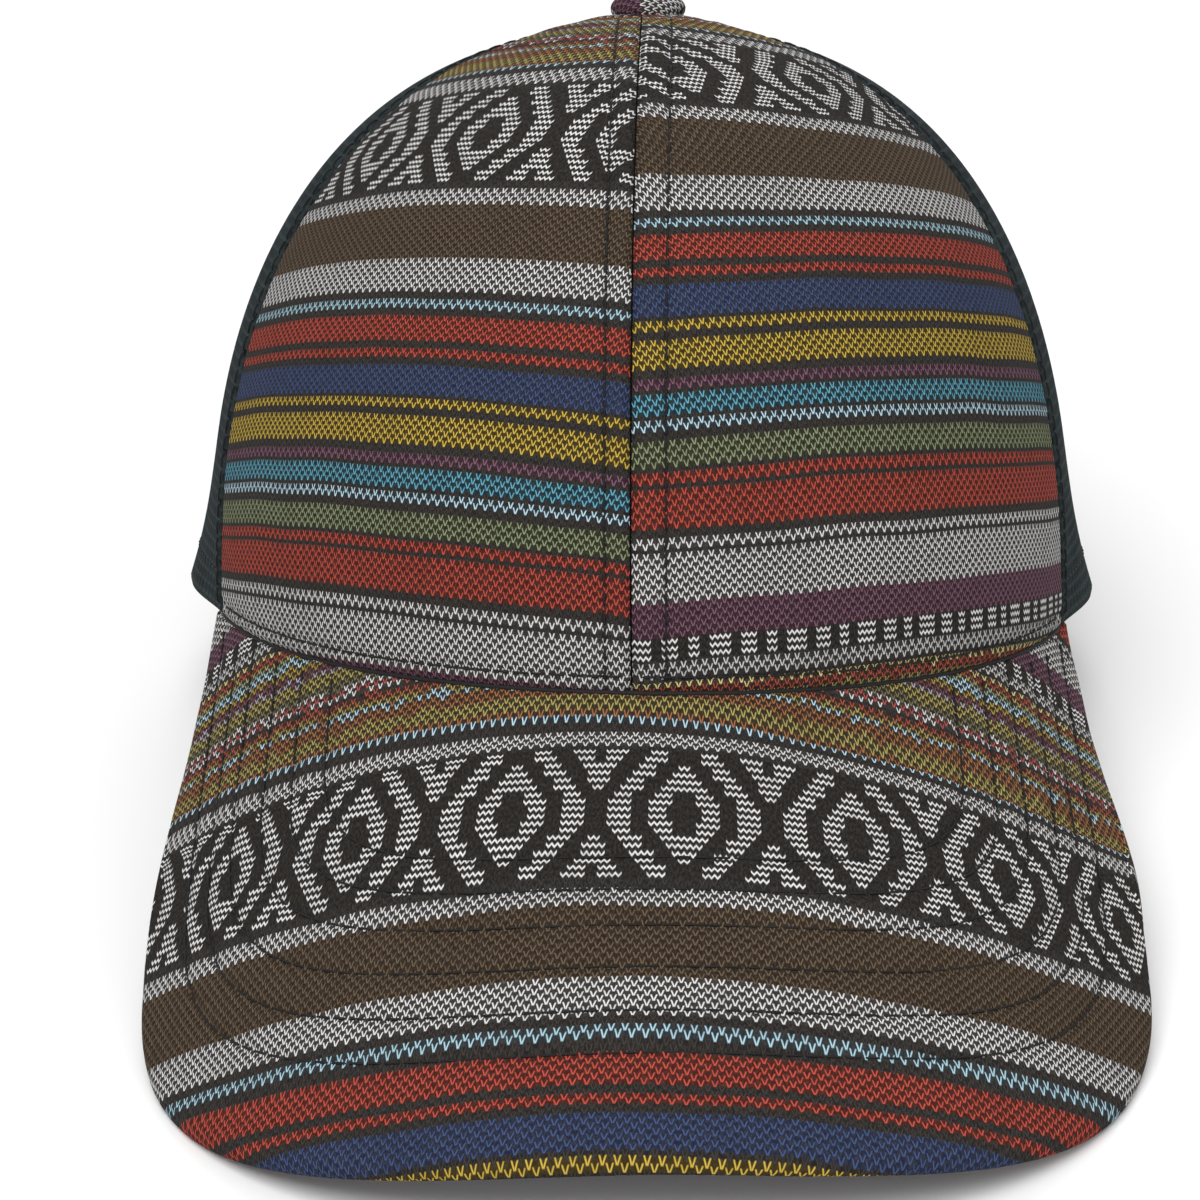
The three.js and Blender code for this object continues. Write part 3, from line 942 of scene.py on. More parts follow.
# Seams fade out before they meet under the button.
SEAM_FADE_FROM = 4.0
SEAM_FADE = 16.0


def turned_under(distance, depth, width):
    """How far cloth dips beside an edge where it is turned under."""
    return depth * np.clip(1 - distance / width, 0, 1) ** 2


def groove(distance, depth, width):
    """How far cloth dips across a line that pulls it in."""
    return depth * np.exp(-(distance / width) ** 2)


def pucker(along, share):
    return 1 + share * np.sin(along * 2 * math.pi / STITCH_PITCH)


def seam_relief(distance, along, stitched_at=None):
    """How far cloth dips beside a seam, and along its topstitched row."""
    turned = turned_under(distance, 0.9, 1.6)
    if stitched_at is None:
        return turned
    pulled = groove(distance - stitched_at, 0.28, 0.7) * pucker(along, 0.4)
    filled = groove(distance - stitched_at / 2, 0.12, 1.3)
    return turned + pulled - filled


def slow_wave(first, second, phase):
    """A gentle unevenness of cloth, within one millimetre each way."""
    return (np.sin(first * 0.21 + phase) * np.sin(second * 0.17 + 2.1 * phase)
            + 0.5 * np.sin(first * 0.43 + second * 0.31 + 3.7 * phase))


def front_depth(angle, rise, height, edges):
    """Depth of a front panel's face, with its seams' relief."""
    spread = spread_at(rise)
    along = RIM.length(angle)
    depth = 0.07 * slow_wave(along * spread, height, 1.3)
    fade = ease((FRONT_MERIDIAN.total - height - SEAM_FADE_FROM) / SEAM_FADE)
    for edge in edges:
        distance = spread * np.abs(along - RIM.length(edge))
        stitched = edge == CENTRE_SEAM_ANGLE
        sewn = TOPSTITCH_AT[1 if angle.mean() > edge else 0] if stitched else None
        depth = depth + seam_relief(distance, height, sewn) * fade
    turned = turned_under(height, 1.1, 2.2)
    gathers = 0.12 * np.exp(-height / 3.0) * np.sin(along * 2 * math.pi / 4.1)
    pulled = groove(height - RIM_STITCH_AT, 0.28, 0.8) * pucker(along, 0.5)
    return depth + turned + pulled + gathers


def edge_spacing(count, edge_share=0.06, edge_points=0.2):
    """Shares from 0 to 1 that crowd near both ends."""
    even = np.linspace(0, 1, count)
    places = (0, edge_points, 1 - edge_points, 1)
    return np.interp(even, places, (0, edge_share, 1 - edge_share, 1))


def front_panel(side):
    stripes = PANEL_STRIPES[side]
    start, end = stripes["angles"]
    across = edge_spacing(170)
    up = np.concatenate([np.linspace(0, 0.06, 18)[:-1], np.linspace(0.06, 1, 170)])
    rise = FRONT_MERIDIAN.place(up * FRONT_MERIDIAN.total)[:, None]
    margin = PIECE_GAP / 2 / (CROWN_MEAN_RADIUS * np.maximum(spread_at(rise), 0.05))
    angle = mix(start + margin, end - margin, across[None])
    height = up[:, None] * FRONT_MERIDIAN.total * np.ones_like(angle)
    depth = front_depth(angle, rise, height, (start, end))
    outer = crown(angle, rise, depth)
    inner = crown(angle, rise, FRONT_WALL + 0.3 * np.minimum(depth, 1))
    middle = FRONT_MIDDLE if side == "left" else -FRONT_MIDDLE
    run = spread_at(rise) * (RIM.length(angle) - RIM.length(middle))
    wale = (run - stripes["eye_at"]) / CROWN_WALE
    course = stripe_height(angle, rise, stripes["droop"])
    pull = table_value(stripes["pulls"], PULL_HEIGHTS, PULL_RUNS, course, run)
    row = rows_at(course, stripes) + pull + BROWN_START
    fabric = np.stack([wale, row], axis=-1)
    # The panel's rim takes the dark tape material: painted shade along its edges at the seams.
    add_piece(
        f"knit_front_{side}", "striped_knit", [KNIT, CLOTH_INSIDE, TAPE], *wall(outer, inner, fabric),
        nodes=[f"front_panel_{side}"],
    )


STITCH_DEPTH = 0.2
# The dark cord along the peak's seam is painted shadow in the crease.
PEAK_SHADOW_CORD_RADIUS = 0.45


def crown_path(angle, rise, depth):
    """Points and outward normals along a line on the crown."""
    step = 0.002
    here = crown(angle, rise, depth)
    along = crown(angle + step, rise, depth) - crown(angle - step, rise, depth)
    upward = crown(angle, np.minimum(rise + step, 1.56), depth) - here
    return here, unit(np.cross(along, upward))


def seam_path(edge, offset, low, high, depth, samples=160):
    """A line that stays a set distance from a seam, between two heights on the crown."""
    height = np.linspace(low, high, samples)
    rise = FRONT_MERIDIAN.place(height)
    length = RIM.length(edge) + offset / np.maximum(spread_at(rise), 0.05)
    return crown_path(RIM.place(length), rise, depth)


def rim_path(start, end, height, depth, samples=200):
    rise = FRONT_MERIDIAN.place(np.full(samples, height))
    angle = np.linspace(start, end, samples)
    return crown_path(angle, rise, depth)


def front_stitches():
    top = FRONT_MERIDIAN.total - 8
    inset = 0.06
    near_centre = inset / 4
    left = (CENTRE_SEAM_ANGLE + near_centre, FRONT_SEAM_ANGLE - inset)
    right = (-FRONT_SEAM_ANGLE + inset, CENTRE_SEAM_ANGLE - near_centre)
    rows = [seam_path(CENTRE_SEAM_ANGLE, offset, 2, top, STITCH_DEPTH)
            for offset in (-TOPSTITCH_AT[0], TOPSTITCH_AT[1])]
    rows += [rim_path(start, end, RIM_STITCH_AT, STITCH_DEPTH) for start, end in (left, right)]
    add_stitches("stitches_front", "striped_knit", rows)


def peak_shadow_cord():
    """A dark cord that fills the crease between the crown and the peak, as painted shadow along the
    crease.
    """
    path, normals = rim_path(-FRONT_SEAM_ANGLE, FRONT_SEAM_ANGLE, 0.05, 0.8)
    turns = np.arange(8) * 45 * DEGREE
    section = PEAK_SHADOW_CORD_RADIUS * np.stack([np.cos(turns), np.sin(turns)], axis=-1)
    add_piece("peak_shadow_cord", "striped_knit", [THREAD], *tube(path, normals, section))


# Peak

# The cloth's rows down the middle of the peak, against the reach in millimetres.
PEAK_REACHES = (
    -60.0, 1.0, 6.5, 10.7, 34.2, 39.0, 51.9, 58.2, 60.4, 64.6, 69.8, 74.5, 80.5, 83.7, 90.0,
)
PEAK_ROWS = (
    -117.0, -45.0, -40.0, -33.0, -6.0, 0.0, 15.0, 22.8, 25.4, 29.0, 35.0, 41.0, 48.0, 51.2, 58.0,
)
PEAK_EYE_AT = 6.6
# Wales are wider towards the front edge, where the cloth is stretched.
PEAK_WALE = 0.851
PEAK_WALE_GROWTH = 0.0028

# Stitch rows are U shapes: half width, reach of the middle, and reach where the corners start.
PEAK_STITCHES = [
    {"half_width": 51.5, "reach": 30.2, "corner_from": 0.0},
    {"half_width": 57.0, "reach": 36.0, "corner_from": 3.0},
    {"half_width": 62.0, "reach": 42.4, "corner_from": 5.0},
    {"half_width": 67.0, "reach": 49.7, "corner_from": 8.0},
    {"half_width": 70.5, "reach": 57.2, "corner_from": 12.0},
    {"half_width": 74.0, "reach": 64.4, "corner_from": 15.0},
]
CORNER_SQUARENESS = 3.2


# Rows by which the stretched cloth is off that course, at places across the peak and reaches.
PEAK_PULL_PLACES = (-80.0, -60.0, -35.0, -12.0, 12.0, 35.0, 60.0, 80.0)
PEAK_PULL_REACHES = (-30.0, 0.0, 15.0, 30.0, 45.0, 60.0, 90.0)
PEAK_PULLS = (
    (6.7, 5.4, 4.2, 2.9, 1.3, -0.5, -2.4, -4.3),
    (5.3, 4.0, 2.9, 2.1, 0.8, -1.1, -2.8, -4.3),
    (3.7, 2.6, 1.5, 1.2, 0.1, -1.7, -3.1, -4.2),
    (2.5, 1.4, 0.4, 0.5, -0.4, -2.0, -3.1, -3.7),
    (1.9, 0.9, 0.0, 0.4, -0.4, -1.9, -2.4, -2.7),
    (1.8, 1.1, 0.3, 0.4, -0.1, -1.2, -1.3, -1.4),
    (1.8, 1.4, 0.8, 0.3, -0.3, -0.6, -0.5, -0.3),
)


def wale_pull(x, reach):
    """Wales by which the stretched cloth is off its even course across the peak."""
    wide = x / 80
    ahead = np.maximum(reach, -20) / 80
    near = -0.21 + 0.31 * wide + 0.23 * wide ** 2 + 8.69 * wide ** 3
    return near + ahead * (2.41 - 0.78 * wide - 5.3 * wide ** 2)


def peak_fabric(x, reach):
    arc = PEAK_ARCH_RADIUS * np.arcsin(np.clip(x / PEAK_ARCH_RADIUS, -1, 1))
    width = PEAK_WALE + PEAK_WALE_GROWTH * np.maximum(reach, 0)
    wale = (arc - PEAK_EYE_AT) / width + wale_pull(x, reach)
    pull = table_value(PEAK_PULLS, PEAK_PULL_REACHES, PEAK_PULL_PLACES, reach, x)
    row = np.interp(reach, PEAK_REACHES, PEAK_ROWS) + pull + BROWN_START
    return np.stack([wale, row], axis=-1)


def stitch_row_distance(x, reach, row):
    """About how far a place on the peak lies from a stitch row, in millimetres."""
    def level(x, reach):
        ahead = np.maximum(reach - row["corner_from"], 0) / (row["reach"] - row["corner_from"])
        wide = np.abs(x) / row["half_width"]
        power = CORNER_SQUARENESS
        return (wide ** power + ahead ** power) ** (1 / power) - 1
    step = 0.1
    slope_x = (level(x + step, reach) - level(x - step, reach)) / (2 * step)
    slope_reach = (level(x, reach + step) - level(x, reach - step)) / (2 * step)
    return np.abs(level(x, reach)) / np.maximum(np.hypot(slope_x, slope_reach), 1e-4)


def peak_relief(x, reach, to_edge):
    """How far the cloth of the peak dips: along its stitch rows and over its rounded edge."""
    dip = 0.1 * slow_wave(x, reach, 0.4)
    for row in PEAK_STITCHES:
        distance = stitch_row_distance(x, reach, row)
        dip = dip + groove(distance, 0.34, 0.75) - groove(distance - 2.6, 0.08, 1.2)
    return dip + turned_under(to_edge, 0.75, 1.8)


def segment_distance(points, start, end):
    along = end - start
    share = np.clip((points - start) @ along / (along @ along), 0, 1)
    return np.linalg.norm(points - start - share[..., None] * along, axis=-1)


def peak_cover():
    columns, rows = 300, 120
    crowding = 72 * DEGREE
    across = np.sin(np.linspace(-1, 1, columns) * crowding) / math.sin(crowding)
    forward = 1 - edge_spacing(rows, 0.05, 0.14)[:, None]
    across = across[None] * np.ones_like(forward)
    forward = forward * np.ones_like(across)
    point, x, reach = peak(across, forward)
    normal = peak_normal(across, forward)
    outline = np.concatenate([point[::-1, 0], point[0, 1:], point[1:, -1]])
    to_edge = np.full(x.shape, 1e9)
    for start, end in zip(outline[:-1], outline[1:]):
        to_edge = np.minimum(to_edge, segment_distance(point, start, end))
    dip = peak_relief(x, reach, to_edge)
    outer = point - normal * dip[..., None]
    inner = point - normal * (PEAK_THICKNESS - dip * 0.8)[..., None]
    points, faces, cloth, _ = wall(outer, inner, peak_fabric(x, reach), PEAK_EDGE_ROUND, rim_steps=6)
    add_piece("knit_peak", "striped_knit", [KNIT], points, faces, cloth, nodes=["peak"])


def peak_place(x, reach):
    """The share of the width and of the way forward where the peak has a given place."""
    across = x / PEAK_HALF_WIDTH
    forward = (reach + 20) / (PEAK_LENGTH + 20)
    step = 1e-4
    for _ in range(40):
        _, here_x, here_reach = peak(across, forward)
        _, by_x, by_reach = peak(across + step, forward)
        _, on_x, on_reach = peak(across, forward + step)
        a, b = (by_x - here_x) / step, (on_x - here_x) / step
        c, d = (by_reach - here_reach) / step, (on_reach - here_reach) / step
        scale = a * d - b * c
        miss_x, miss_reach = x - here_x, reach - here_reach
        across = np.clip(across + 0.7 * (d * miss_x - b * miss_reach) / scale, -0.97, 0.97)
        forward = np.clip(forward + 0.7 * (a * miss_reach - c * miss_x) / scale, 0.0, 1.0)
    return across, forward


def peak_stitch_line(row):
    """A U-shaped stitch row in width places and reaches, from seam to seam."""
    turns = np.linspace(0, 90, 90) * DEGREE
    power = 2 / CORNER_SQUARENESS
    half_x = row["half_width"] * np.maximum(np.cos(turns), 0) ** power
    depth = row["reach"] - row["corner_from"]
    half_reach = row["corner_from"] + depth * np.sin(turns) ** power
    seam_angle = math.asin(min(row["half_width"] / CROWN_HALF_WIDTH, 1))
    seam_reach = -CROWN_HALF_LENGTH * math.cos(PEAK_SLOPE) * (1 - math.cos(seam_angle))
    back = np.linspace(seam_reach + 2, row["corner_from"], 30)[:-1]
    x = np.concatenate([np.full(len(back), row["half_width"]), half_x])
    reach = np.concatenate([back, half_reach])
    return np.concatenate([x, -x[::-1][1:]]), np.concatenate([reach, reach[::-1][1:]])


def peak_stitches():
    rows = []
    dip = 0.3
    for row in PEAK_STITCHES:
        across, forward = peak_place(*peak_stitch_line(row))
        point, _, _ = peak(across, forward)
        normal = peak_normal(across, forward)
        rows.append((point - normal * dip, normal))
        rows.append((point - normal * (PEAK_THICKNESS - dip), -normal))
    add_stitches("stitches_peak", "striped_knit", rows)


# Net panels. The lattice is laid flat over each panel and cut by its seams.

NET_PITCH_ACROSS = 2.6
NET_PITCH_UP = 2.25
NET_HOLE_SHARE = 0.6
NET_THICKNESS = 1.0
NET_DEPTH = 0.12
# The net's threads are rounded: a hole's edges lie at these shares of the thickness.
HOLE_EDGES = (0.3, 0.7)
SEAM_INSET = 0.15
HOLE_INSET = 0.5
# A hole's corners, in half pitches across and thirds of a pitch up.
NET_CORNERS = np.array([(0, 2), (-1, 1), (-1, -1), (0, -2), (1, -1), (1, 1)])
ARCH_MARGIN = 1.6


def arch_clearance(points):
    """How far level-cap points lie outside the half-round opening, seen from behind."""
    x, z = np.abs(points[..., 0]), points[..., 2]
    round_part = np.hypot(x, z - ARCH_STRAIGHT) - ARCH_RADIUS
    return np.where(z > ARCH_STRAIGHT, round_part, x - ARCH_RADIUS)


class PanelCloth:
    """A net panel's flat cloth: places run across from its middle, and heights up from its rim."""

    def __init__(self, start, end):
        middle = (start + end) / 2
        self.line = meridian(middle)
        self.centre = RIM.length(middle)
        self.low = RIM.length(start) - self.centre
        self.high = RIM.length(end) - self.centre

    def limits(self, height, inset):
        spread = spread_at(self.line.place(np.clip(height, 0, self.line.total)))
        return self.low * spread + inset, self.high * spread - inset

    def on_crown(self, x, height, inset, depth):
        height = np.clip(height, inset * 0.3, self.line.total)
        x = np.clip(x, *self.limits(height, inset))
        rise = self.line.place(height)
        spread = np.maximum(spread_at(rise), 0.02)
        angle = RIM.place(self.centre + x / spread)
        seam = np.minimum(x - self.low * spread, self.high * spread - x)
        fade = ease((self.line.total - height - SEAM_FADE_FROM) / SEAM_FADE)
        turned = turned_under(seam, 0.9, 2.2) * fade + turned_under(height, 0.7, 1.6)
        return crown(angle, rise, depth + turned)


def lattice(corner):
    """The place and height on the flat cloth of a corner in steps of the lattice."""
    return corner[..., 0] * NET_PITCH_ACROSS / 2, corner[..., 1] * NET_PITCH_UP / 3


def net_cells(cloth, is_back):
    """The middles of the holes that lie within a panel, in steps of the lattice."""
    count_up = int(cloth.line.total / NET_PITCH_UP) + 1
    count_across = int((cloth.high - cloth.low) / 2 / NET_PITCH_ACROSS) + 2
    cells = np.array([(2 * across + up % 2, 3 * up + 1) for up in range(count_up)
                      for across in range(-count_across, count_across + 1)])
    x, height = lattice(cells.astype(float))
    left, right = cloth.limits(height, 0.35 * NET_PITCH_ACROSS)
    keep = (x > left) & (x < right) & (height < cloth.line.total - 1) & (height > -0.5)
    if is_back:
        keep &= arch_clearance(cloth.on_crown(x, height, 0.0, 0.0)) > ARCH_MARGIN
    return cells[keep]


def net_panel(name, start, end, node, is_back):
    """A net panel: six-sided holes in a sheet that thins towards each hole's edge."""
    cloth = PanelCloth(start, end)
    cells = net_cells(cloth, is_back)
    corners = (cells[:, None] + NET_CORNERS[None]).reshape(-1, 2)
    keys, where = np.unique(corners, axis=0, return_inverse=True)
    where = where.reshape(-1, 6)
    border = lattice(keys.astype(float))
    hole = lattice(cells[:, None] + NET_CORNERS[None] * NET_HOLE_SHARE)
    points = np.concatenate([
        cloth.on_crown(*border, SEAM_INSET, NET_DEPTH),
        cloth.on_crown(*border, SEAM_INSET, NET_DEPTH + NET_THICKNESS),
        cloth.on_crown(*hole, HOLE_INSET, NET_DEPTH + NET_THICKNESS * HOLE_EDGES[0]).reshape(-1, 3),
        cloth.on_crown(*hole, HOLE_INSET, NET_DEPTH + NET_THICKNESS * HOLE_EDGES[1]).reshape(-1, 3),
    ])
    count = len(keys)
    first = 2 * count + np.arange(where.size).reshape(-1, 6)
    second = first + where.size
    faces = []
    for a, b in ((where, first), (first, second), (second, where + count)):
        sides = [np.roll(a, -1, axis=1), a, b, np.roll(b, -1, axis=1)]
        faces.append(np.stack(sides, axis=-1).reshape(-1, 4))
    # The rim round the outside joins the outer and inner faces.
    edges = np.stack([where, np.roll(where, -1, axis=1)], axis=-1).reshape(-1, 2)
    ordered = np.sort(edges, axis=1)
    _, at, uses = np.unique(ordered, axis=0, return_index=True, return_counts=True)
    rim = edges[at[uses == 1]]
    faces.append(np.concatenate([rim, rim[:, ::-1] + count], axis=-1))
    add_piece(name, "cap_net", [NET], points, np.concatenate(faces), nodes=[node])


def strip(start_path, end_path, columns, depth, thickness):
    """A thin closed band between two (angle, rise) lines on the crown."""
    share = np.linspace(0, 1, columns)[:, None]
    angle = mix(start_path[0][None], end_path[0][None], share)
    rise = mix(start_path[1][None], end_path[1][None], share)
    faces = [np.swapaxes(crown(angle, rise, at), 0, 1) for at in (depth, depth + thickness)]
    return wall(*faces, rounding=0.1, rim_steps=3)


TAPE_THICKNESS = 0.45
TAPE_WIDTH = 12.0
FRONT_TAPE_WIDTH = 13.0
FRONT_TAPE_DEPTH = FRONT_WALL + 0.35
NET_TAPE_DEPTH = NET_WALL + 0.1


def seam_tape(edge, low, high, width, depth):
    """A tape that covers a seam on the inside of the crown."""
    rise = meridian(edge).place(np.linspace(low, high, 70))
    reach = width / 2 / np.maximum(spread_at(rise), 0.09)
    start = RIM.place(RIM.length(edge) - reach)
    end = RIM.place(RIM.length(edge) + reach)
    return strip((start, rise), (end, rise), 8, depth, TAPE_THICKNESS)


def tapes():
    top = FRONT_MERIDIAN.total - 6
    parts = [seam_tape(CENTRE_SEAM_ANGLE, 1, top, TAPE_WIDTH, FRONT_TAPE_DEPTH + 0.2)]
    for edge in (FRONT_SEAM_ANGLE, -FRONT_SEAM_ANGLE):
        parts.append(seam_tape(edge, 1, top, FRONT_TAPE_WIDTH, FRONT_TAPE_DEPTH))
    for edge in (BACK_SEAM_ANGLE, -BACK_SEAM_ANGLE):
        parts.append(seam_tape(edge, 1, top, TAPE_WIDTH, NET_TAPE_DEPTH))
    above_arch = ARCH_RADIUS + ARCH_STRAIGHT + 9
    parts.append(seam_tape(HALF_TURN, above_arch, top, TAPE_WIDTH, NET_TAPE_DEPTH))
    add_piece("seam_tapes", "cap_net", [TAPE], *joined(parts))


HEM_HEIGHT = 9.0
HEM_DEPTH = NET_WALL + 0.05
HEM_THICKNESS = 0.7
HEM_CLEAR = 0.03


def hems():
    """The band inside the foot of the net, from the front seam to the bound opening."""
    parts = []
    rear = HALF_TURN - math.asin((ARCH_RADIUS + 3) / CROWN_HALF_WIDTH)
    share = np.linspace(0, 1, 8)[:, None]
    rise = mix(FRONT_MERIDIAN.place(0.3), FRONT_MERIDIAN.place(HEM_HEIGHT), share)
    turns = np.linspace(FRONT_SEAM_ANGLE + HEM_CLEAR, rear, 90)
    for angle in (turns[None], -turns[None, ::-1]):
        outer = crown(angle, rise, HEM_DEPTH)
        inner = crown(angle, rise, HEM_DEPTH + HEM_THICKNESS)
        parts.append(wall(outer, inner, rounding=0.3, rim_steps=4))
    add_piece("net_hem", "cap_net", [TAPE], *joined(parts))


NET_STITCH_AT = 3.2
NET_STITCH_DEPTH = 0.05
HEM_STITCH_DEPTH = 0.3


def net_stitches():
    top = FRONT_MERIDIAN.total - 10
    above_arch = ARCH_RADIUS + ARCH_STRAIGHT + 10
    lines = [(FRONT_SEAM_ANGLE, NET_STITCH_AT, 2), (-FRONT_SEAM_ANGLE, -NET_STITCH_AT, 2)]
    for edge, low in ((BACK_SEAM_ANGLE, 2), (-BACK_SEAM_ANGLE, 2), (HALF_TURN - 1e-4, above_arch)):
        lines += [(edge, -NET_STITCH_AT, low), (edge, NET_STITCH_AT, low)]
    rows = [seam_path(edge, offset, low, top, NET_STITCH_DEPTH) for edge, offset, low in lines]
    rear = HALF_TURN - math.asin((ARCH_RADIUS + 6) / CROWN_HALF_WIDTH)
    front = FRONT_SEAM_ANGLE + HEM_CLEAR
    for start, end in ((front, rear), (-rear, -front)):
        rows.append(rim_path(start, end, HEM_HEIGHT - 1, HEM_STITCH_DEPTH))
    add_stitches("stitches_net", "cap_net", rows)


# Half-round opening at the back

def on_back(x, z, depth):
    """The crown's surface behind a place that is given by its x and z."""
    angle = np.full(np.shape(x), HALF_TURN)
    lift = np.clip(z / CROWN_HEIGHT, 0, 0.99)
    for _ in range(30):
        lift = np.clip((z - rim_height(angle) * (1 - lift) ** 2) / CROWN_HEIGHT, 0, 0.99)
        rise = np.arcsin(lift ** (CROWN_FULLNESS / 2))
        width = (CROWN_HALF_WIDTH + flare(angle, CROWN_HEIGHT * lift)) * spread_at(rise)
        angle = HALF_TURN - np.arcsin(np.clip((x - TOP_LEAN * lift ** 2) / width, -0.95, 0.95))
    return crown(angle, rise, depth)


def arch_line(margin, samples=120):
    """The opening's outline, made larger by a margin, as x and z from foot to foot."""
    radius = ARCH_RADIUS + margin
    foot = -1.7
    half = samples // 5
    up = np.linspace(foot, ARCH_STRAIGHT, half)[:-1]
    turns = np.linspace(0, HALF_TURN, samples - 2 * half)
    x = np.concatenate([np.full(half - 1, radius), radius * np.cos(turns), np.full(half - 1, -radius)])
    z = np.concatenate([up, ARCH_STRAIGHT + radius * np.sin(turns), up[::-1]])
    return x, z


def arch_binding():
    """A folded band over the net's edge, with its two faces a little proud of the net."""
    proud = BINDING_PROUD
    back = NET_WALL + proud
    section = [
        (BINDING_WIDTH, 0.1), (BINDING_WIDTH - 0.25, -proud), (BINDING_WIDTH * 0.62, -proud - 0.05),
        (BINDING_WIDTH * 0.3, -proud), (0.35, -proud * 0.9), (-0.1, 0.15), (-0.2, NET_WALL / 2),
        (-0.1, NET_WALL - 0.15), (0.35, back), (BINDING_WIDTH * 0.3, back),
        (BINDING_WIDTH * 0.62, back + 0.05), (BINDING_WIDTH - 0.25, back), (BINDING_WIDTH, NET_WALL),
    ]
    rings = [on_back(*arch_line(margin), depth) for margin, depth in section]
    points = np.stack(rings, axis=1)
    faces = tube_faces(*points.shape[:2], turned_over=True)
    add_piece("arch_binding", "cap_net", [TAPE], points.reshape(-1, 3), faces)


def arch_stitches():
    x, z = arch_line(BINDING_WIDTH - 1.1)
    depth = -BINDING_PROUD - 0.02
    step = 0.05
    path = on_back(x, z, depth)
    normals = unit(path - on_back(x, z, depth + step))
    add_stitches("stitches_arch", "cap_net", [(path, normals)])


# Strap

STRAP_DEPTH = NET_WALL + BINDING_PROUD + PIECE_GAP
STRAP_RIM_WIDTH = 1.6
STRAP_SUNK = 0.22
STUD_COUNT = 7
STUD_PITCH = 8.6
STUD_RADIUS = 2.3


def rise_at(height):
    """The crown's rise at a height in millimetres above its level rim."""
    return np.arcsin((height / CROWN_HEIGHT) ** (CROWN_FULLNESS / 2))


def strap():
    """A moulded band with a raised rim and a row of studs along its middle."""
    turn = np.linspace(-STRAP_HALF_ANGLE, STRAP_HALF_ANGLE, 150)[None]
    up = edge_spacing(22, 0.12, 0.3)[:, None]
    edge = np.minimum(up, 1 - up) * STRAP_HEIGHT
    panel = STRAP_SUNK * ease((edge - STRAP_RIM_WIDTH) / 0.8)
    depth = STRAP_DEPTH + 0.12 + panel + turned_under(edge, 0.3, 0.6)
    angle = HALF_TURN + turn
    rise = rise_at(np.maximum(up * STRAP_HEIGHT, 0.001))
    outer = crown(angle, rise, depth)
    inner = crown(angle, rise, STRAP_DEPTH + STRAP_THICKNESS - 0.1)
    parts = [wall(outer, inner, rounding=0.35, rim_steps=4)]
    for number in range(STUD_COUNT):
        place = RIM.length(HALF_TURN) + (number - (STUD_COUNT - 1) / 2) * STUD_PITCH
        middle = rise_at(STRAP_HEIGHT / 2)
        parts.append(stud(*crown_path(RIM.place(place), middle, STRAP_DEPTH + 0.2)))
    add_piece("strap_band", "strap_plastic", [PLASTIC], *joined(parts), nodes=["snap_strap"])


def stud(centre, normal):
    """A low round stud with a rounded top."""
    profile = [(1.0, -0.3), (1.0, 0.1), (0.93, 0.24), (0.75, 0.34), (0.4, 0.4)]
    side = unit(np.cross(normal, [0.0, 0.0, 1.0]))
    other = np.cross(normal, side)
    turns = np.linspace(0, 2 * math.pi, 24, endpoint=False)
    ring = np.cos(turns)[:, None] * side + np.sin(turns)[:, None] * other
    points = np.stack([centre + ring * STUD_RADIUS * width + normal * height for width, height in profile])
    return points.reshape(-1, 3), tube_faces(*points.shape[:2])


# Button

BUTTON_RADIUS = 6.8
BUTTON_HEIGHT = 4.6
BUTTON_STRIPE_AT = -1.4
BUTTON_OFF_MIDDLE = 1.0
BUTTON_SEAT = 0.7
BUTTON_SUNK = 1.9
BUTTON_GATHERS = 17
BUTTON_ROW_HEIGHT = 0.85
BUTTON_STRIPE_ROW = band_start("dashes") - 7


def button_profile():
    """The button's outline from its underside to its top: shares of its radius, and heights."""
    roll = BUTTON_HEIGHT * 0.3
    low = [(0.55, -BUTTON_SUNK), (0.9, -BUTTON_SUNK), (0.93, 0.12), (0.985, roll * 0.5)]
    turns = np.linspace(0, 88, 26) * DEGREE
    dome = np.stack([np.cos(turns) ** 0.9, roll + (BUTTON_HEIGHT - roll) * np.sin(turns)], axis=-1)
    return np.concatenate([np.array(low), dome])


def button():
    """A covered button, with its cloth's stripes running from front to back."""
    profile = button_profile()
    around = np.linspace(0, 2 * math.pi, 96, endpoint=False)[None]
    sideways, ahead = np.sin(around), np.cos(around)
    low_share = np.clip(1 - profile[:, 1:] / (BUTTON_HEIGHT * 0.55), 0, 1)
    gather = 0.012 * np.sin(around * BUTTON_GATHERS) * low_share
    radius = BUTTON_RADIUS * (profile[:, :1] * (1 + gather))
    height = np.broadcast_to(profile[:, 1:], radius.shape)
    base = CROWN_HEIGHT + TOP_SWELL - BUTTON_SEAT
    middle = TOP_LEAN + BUTTON_OFF_MIDDLE
    points = np.stack([radius * sideways + middle, -radius * ahead, height + base], axis=-1)
    steps = np.linalg.norm(np.diff(profile * [BUTTON_RADIUS, 1], axis=0), axis=1)
    run = np.concatenate([[0], np.cumsum(steps)])
    flat = (run[-1] - run)[:, None]
    row = BUTTON_STRIPE_ROW - (flat * sideways - BUTTON_STRIPE_AT) / BUTTON_ROW_HEIGHT
    fabric = np.stack([-flat * ahead / CROWN_WALE, row], axis=-1)
    add_piece(
        "knit_button", "striped_knit", [KNIT], points.reshape(-1, 3), tube_faces(*points.shape[:2]),
        fabric.reshape(-1, 2), nodes=["top_button"],
    )


# Floor, light and camera

FLOOR_HALF_SIZE = 12.0
FLOOR_COLOUR = (0.86, 0.86, 0.86, 1)


def stage():
    mesh = bpy.data.meshes.new("floor")
    size = FLOOR_HALF_SIZE
    corners = [(-size, -size, 0), (size, -size, 0), (size, size, 0), (-size, size, 0)]
    mesh.from_pydata(corners, [], [(0, 1, 2, 3)])
    surface = Surface("floor", roughness=0.9, specular=0.1)
    surface.shader.inputs["Base Color"].default_value = FLOOR_COLOUR
    mesh.materials.append(surface.material)
    add_object("floor", mesh)


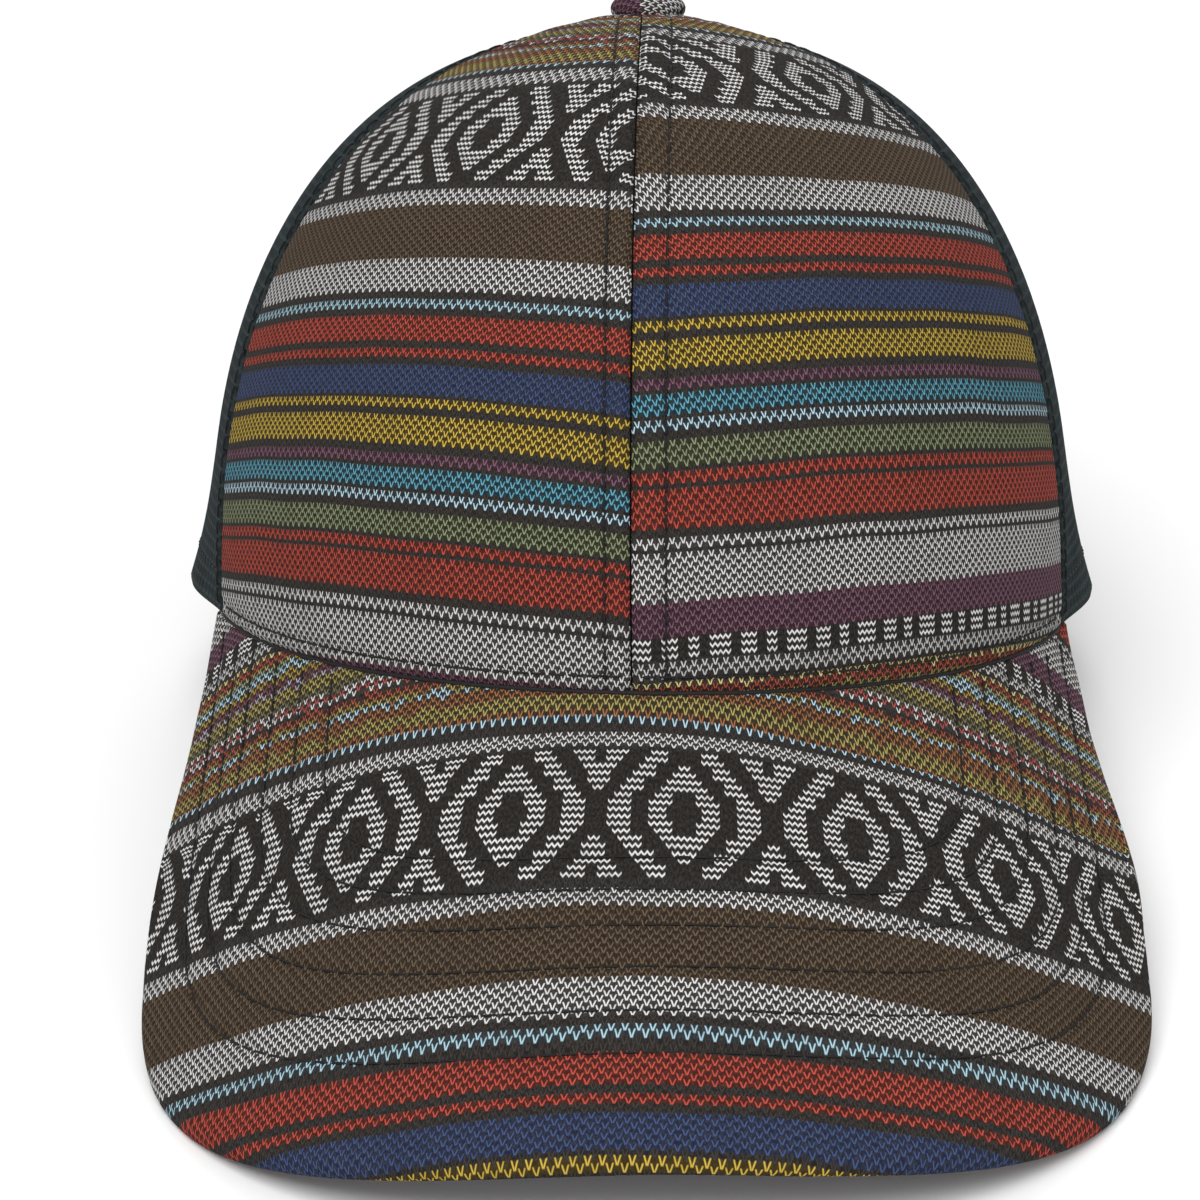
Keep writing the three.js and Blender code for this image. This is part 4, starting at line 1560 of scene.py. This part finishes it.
# Soft square lights, in metres and watts, all turned to the middle of the cap.
LIGHT_TARGET = (0, 0, 0.06)
LIGHTS = {
    "key": {"place": (-0.35, -0.75, 1.6), "size": 1.3, "power": 26},
    "fill": {"place": (0.8, -1.1, 0.7), "size": 1.4, "power": 4.5},
    "back": {"place": (0.2, 1.3, 1.2), "size": 1.2, "power": 8},
}
WORLD_STRENGTH = 0.5


def lights():
    for name, light in LIGHTS.items():
        data = bpy.data.lights.new(name, "AREA")
        data.size = light["size"]
        data.energy = light["power"]
        lamp = add_object(name, data)
        lamp.location = light["place"]
        direction = Vector(LIGHT_TARGET) - Vector(light["place"])
        lamp.rotation_euler = direction.to_track_quat("-Z", "Y").to_euler()
    world = bpy.data.worlds.new("soft_light")
    world.use_nodes = True
    background = world.node_tree.nodes["Background"]
    background.inputs[0].default_value = (1, 1, 1, 1)
    background.inputs[1].default_value = WORLD_STRENGTH
    bpy.context.scene.world = world


CAMERA_ELEVATION = 12 * DEGREE
CAMERA_DISTANCE = 600.0
AIM_HEIGHT = -5.0
FOCAL_PIXELS = 3180.0
FRAME_PIXELS = 1200.0
CENTRE_PIXEL = 642.0
CAMERA_ROLL = 0.6 * DEGREE
SENSOR_MM = 36.0


def camera():
    forward = np.array([0, math.cos(CAMERA_ELEVATION), -math.sin(CAMERA_ELEVATION)])
    upward = np.array([0, math.sin(CAMERA_ELEVATION), math.cos(CAMERA_ELEVATION)])
    right = np.array([1.0, 0, 0])
    eye = np.array([0, 0, AIM_HEIGHT]) - forward * CAMERA_DISTANCE
    origin = placed(np.zeros(3))

    def direction(vector):
        return unit(placed(vector) - origin)

    rolled_up = direction(upward * math.cos(CAMERA_ROLL) + right * math.sin(CAMERA_ROLL))
    rolled_right = direction(right * math.cos(CAMERA_ROLL) - upward * math.sin(CAMERA_ROLL))
    back = -direction(forward)
    data = bpy.data.cameras.new("camera")
    data.sensor_width = SENSOR_MM
    data.lens = FOCAL_PIXELS / FRAME_PIXELS * SENSOR_MM
    data.shift_x = (FRAME_PIXELS / 2 - CENTRE_PIXEL) / FRAME_PIXELS
    data.clip_start = 0.01
    eye_object = add_object("camera", data)
    turned = np.eye(4)
    turned[:3, :3] = np.stack([rolled_right, rolled_up, back], axis=1)
    turned[:3, 3] = placed(eye)
    eye_object.matrix_world = Matrix(turned.tolist())
    bpy.context.scene.camera = eye_object


bpy.context.scene.view_settings.view_transform = "Standard"
camera()
lights()
stage()
for side in ("left", "right"):
    front_panel(side)
front_stitches()
peak_shadow_cord()
peak_cover()
peak_stitches()
net_panel("net_side_left", FRONT_SEAM_ANGLE, BACK_SEAM_ANGLE, "side_net_left", False)
net_panel("net_side_right", -BACK_SEAM_ANGLE, -FRONT_SEAM_ANGLE, "side_net_right", False)
net_panel("net_back_left", BACK_SEAM_ANGLE, HALF_TURN, "back_net_left", True)
net_panel("net_back_right", -HALF_TURN, -BACK_SEAM_ANGLE, "back_net_right", True)
tapes()
hems()
net_stitches()
arch_binding()
arch_stitches()
strap()
button()
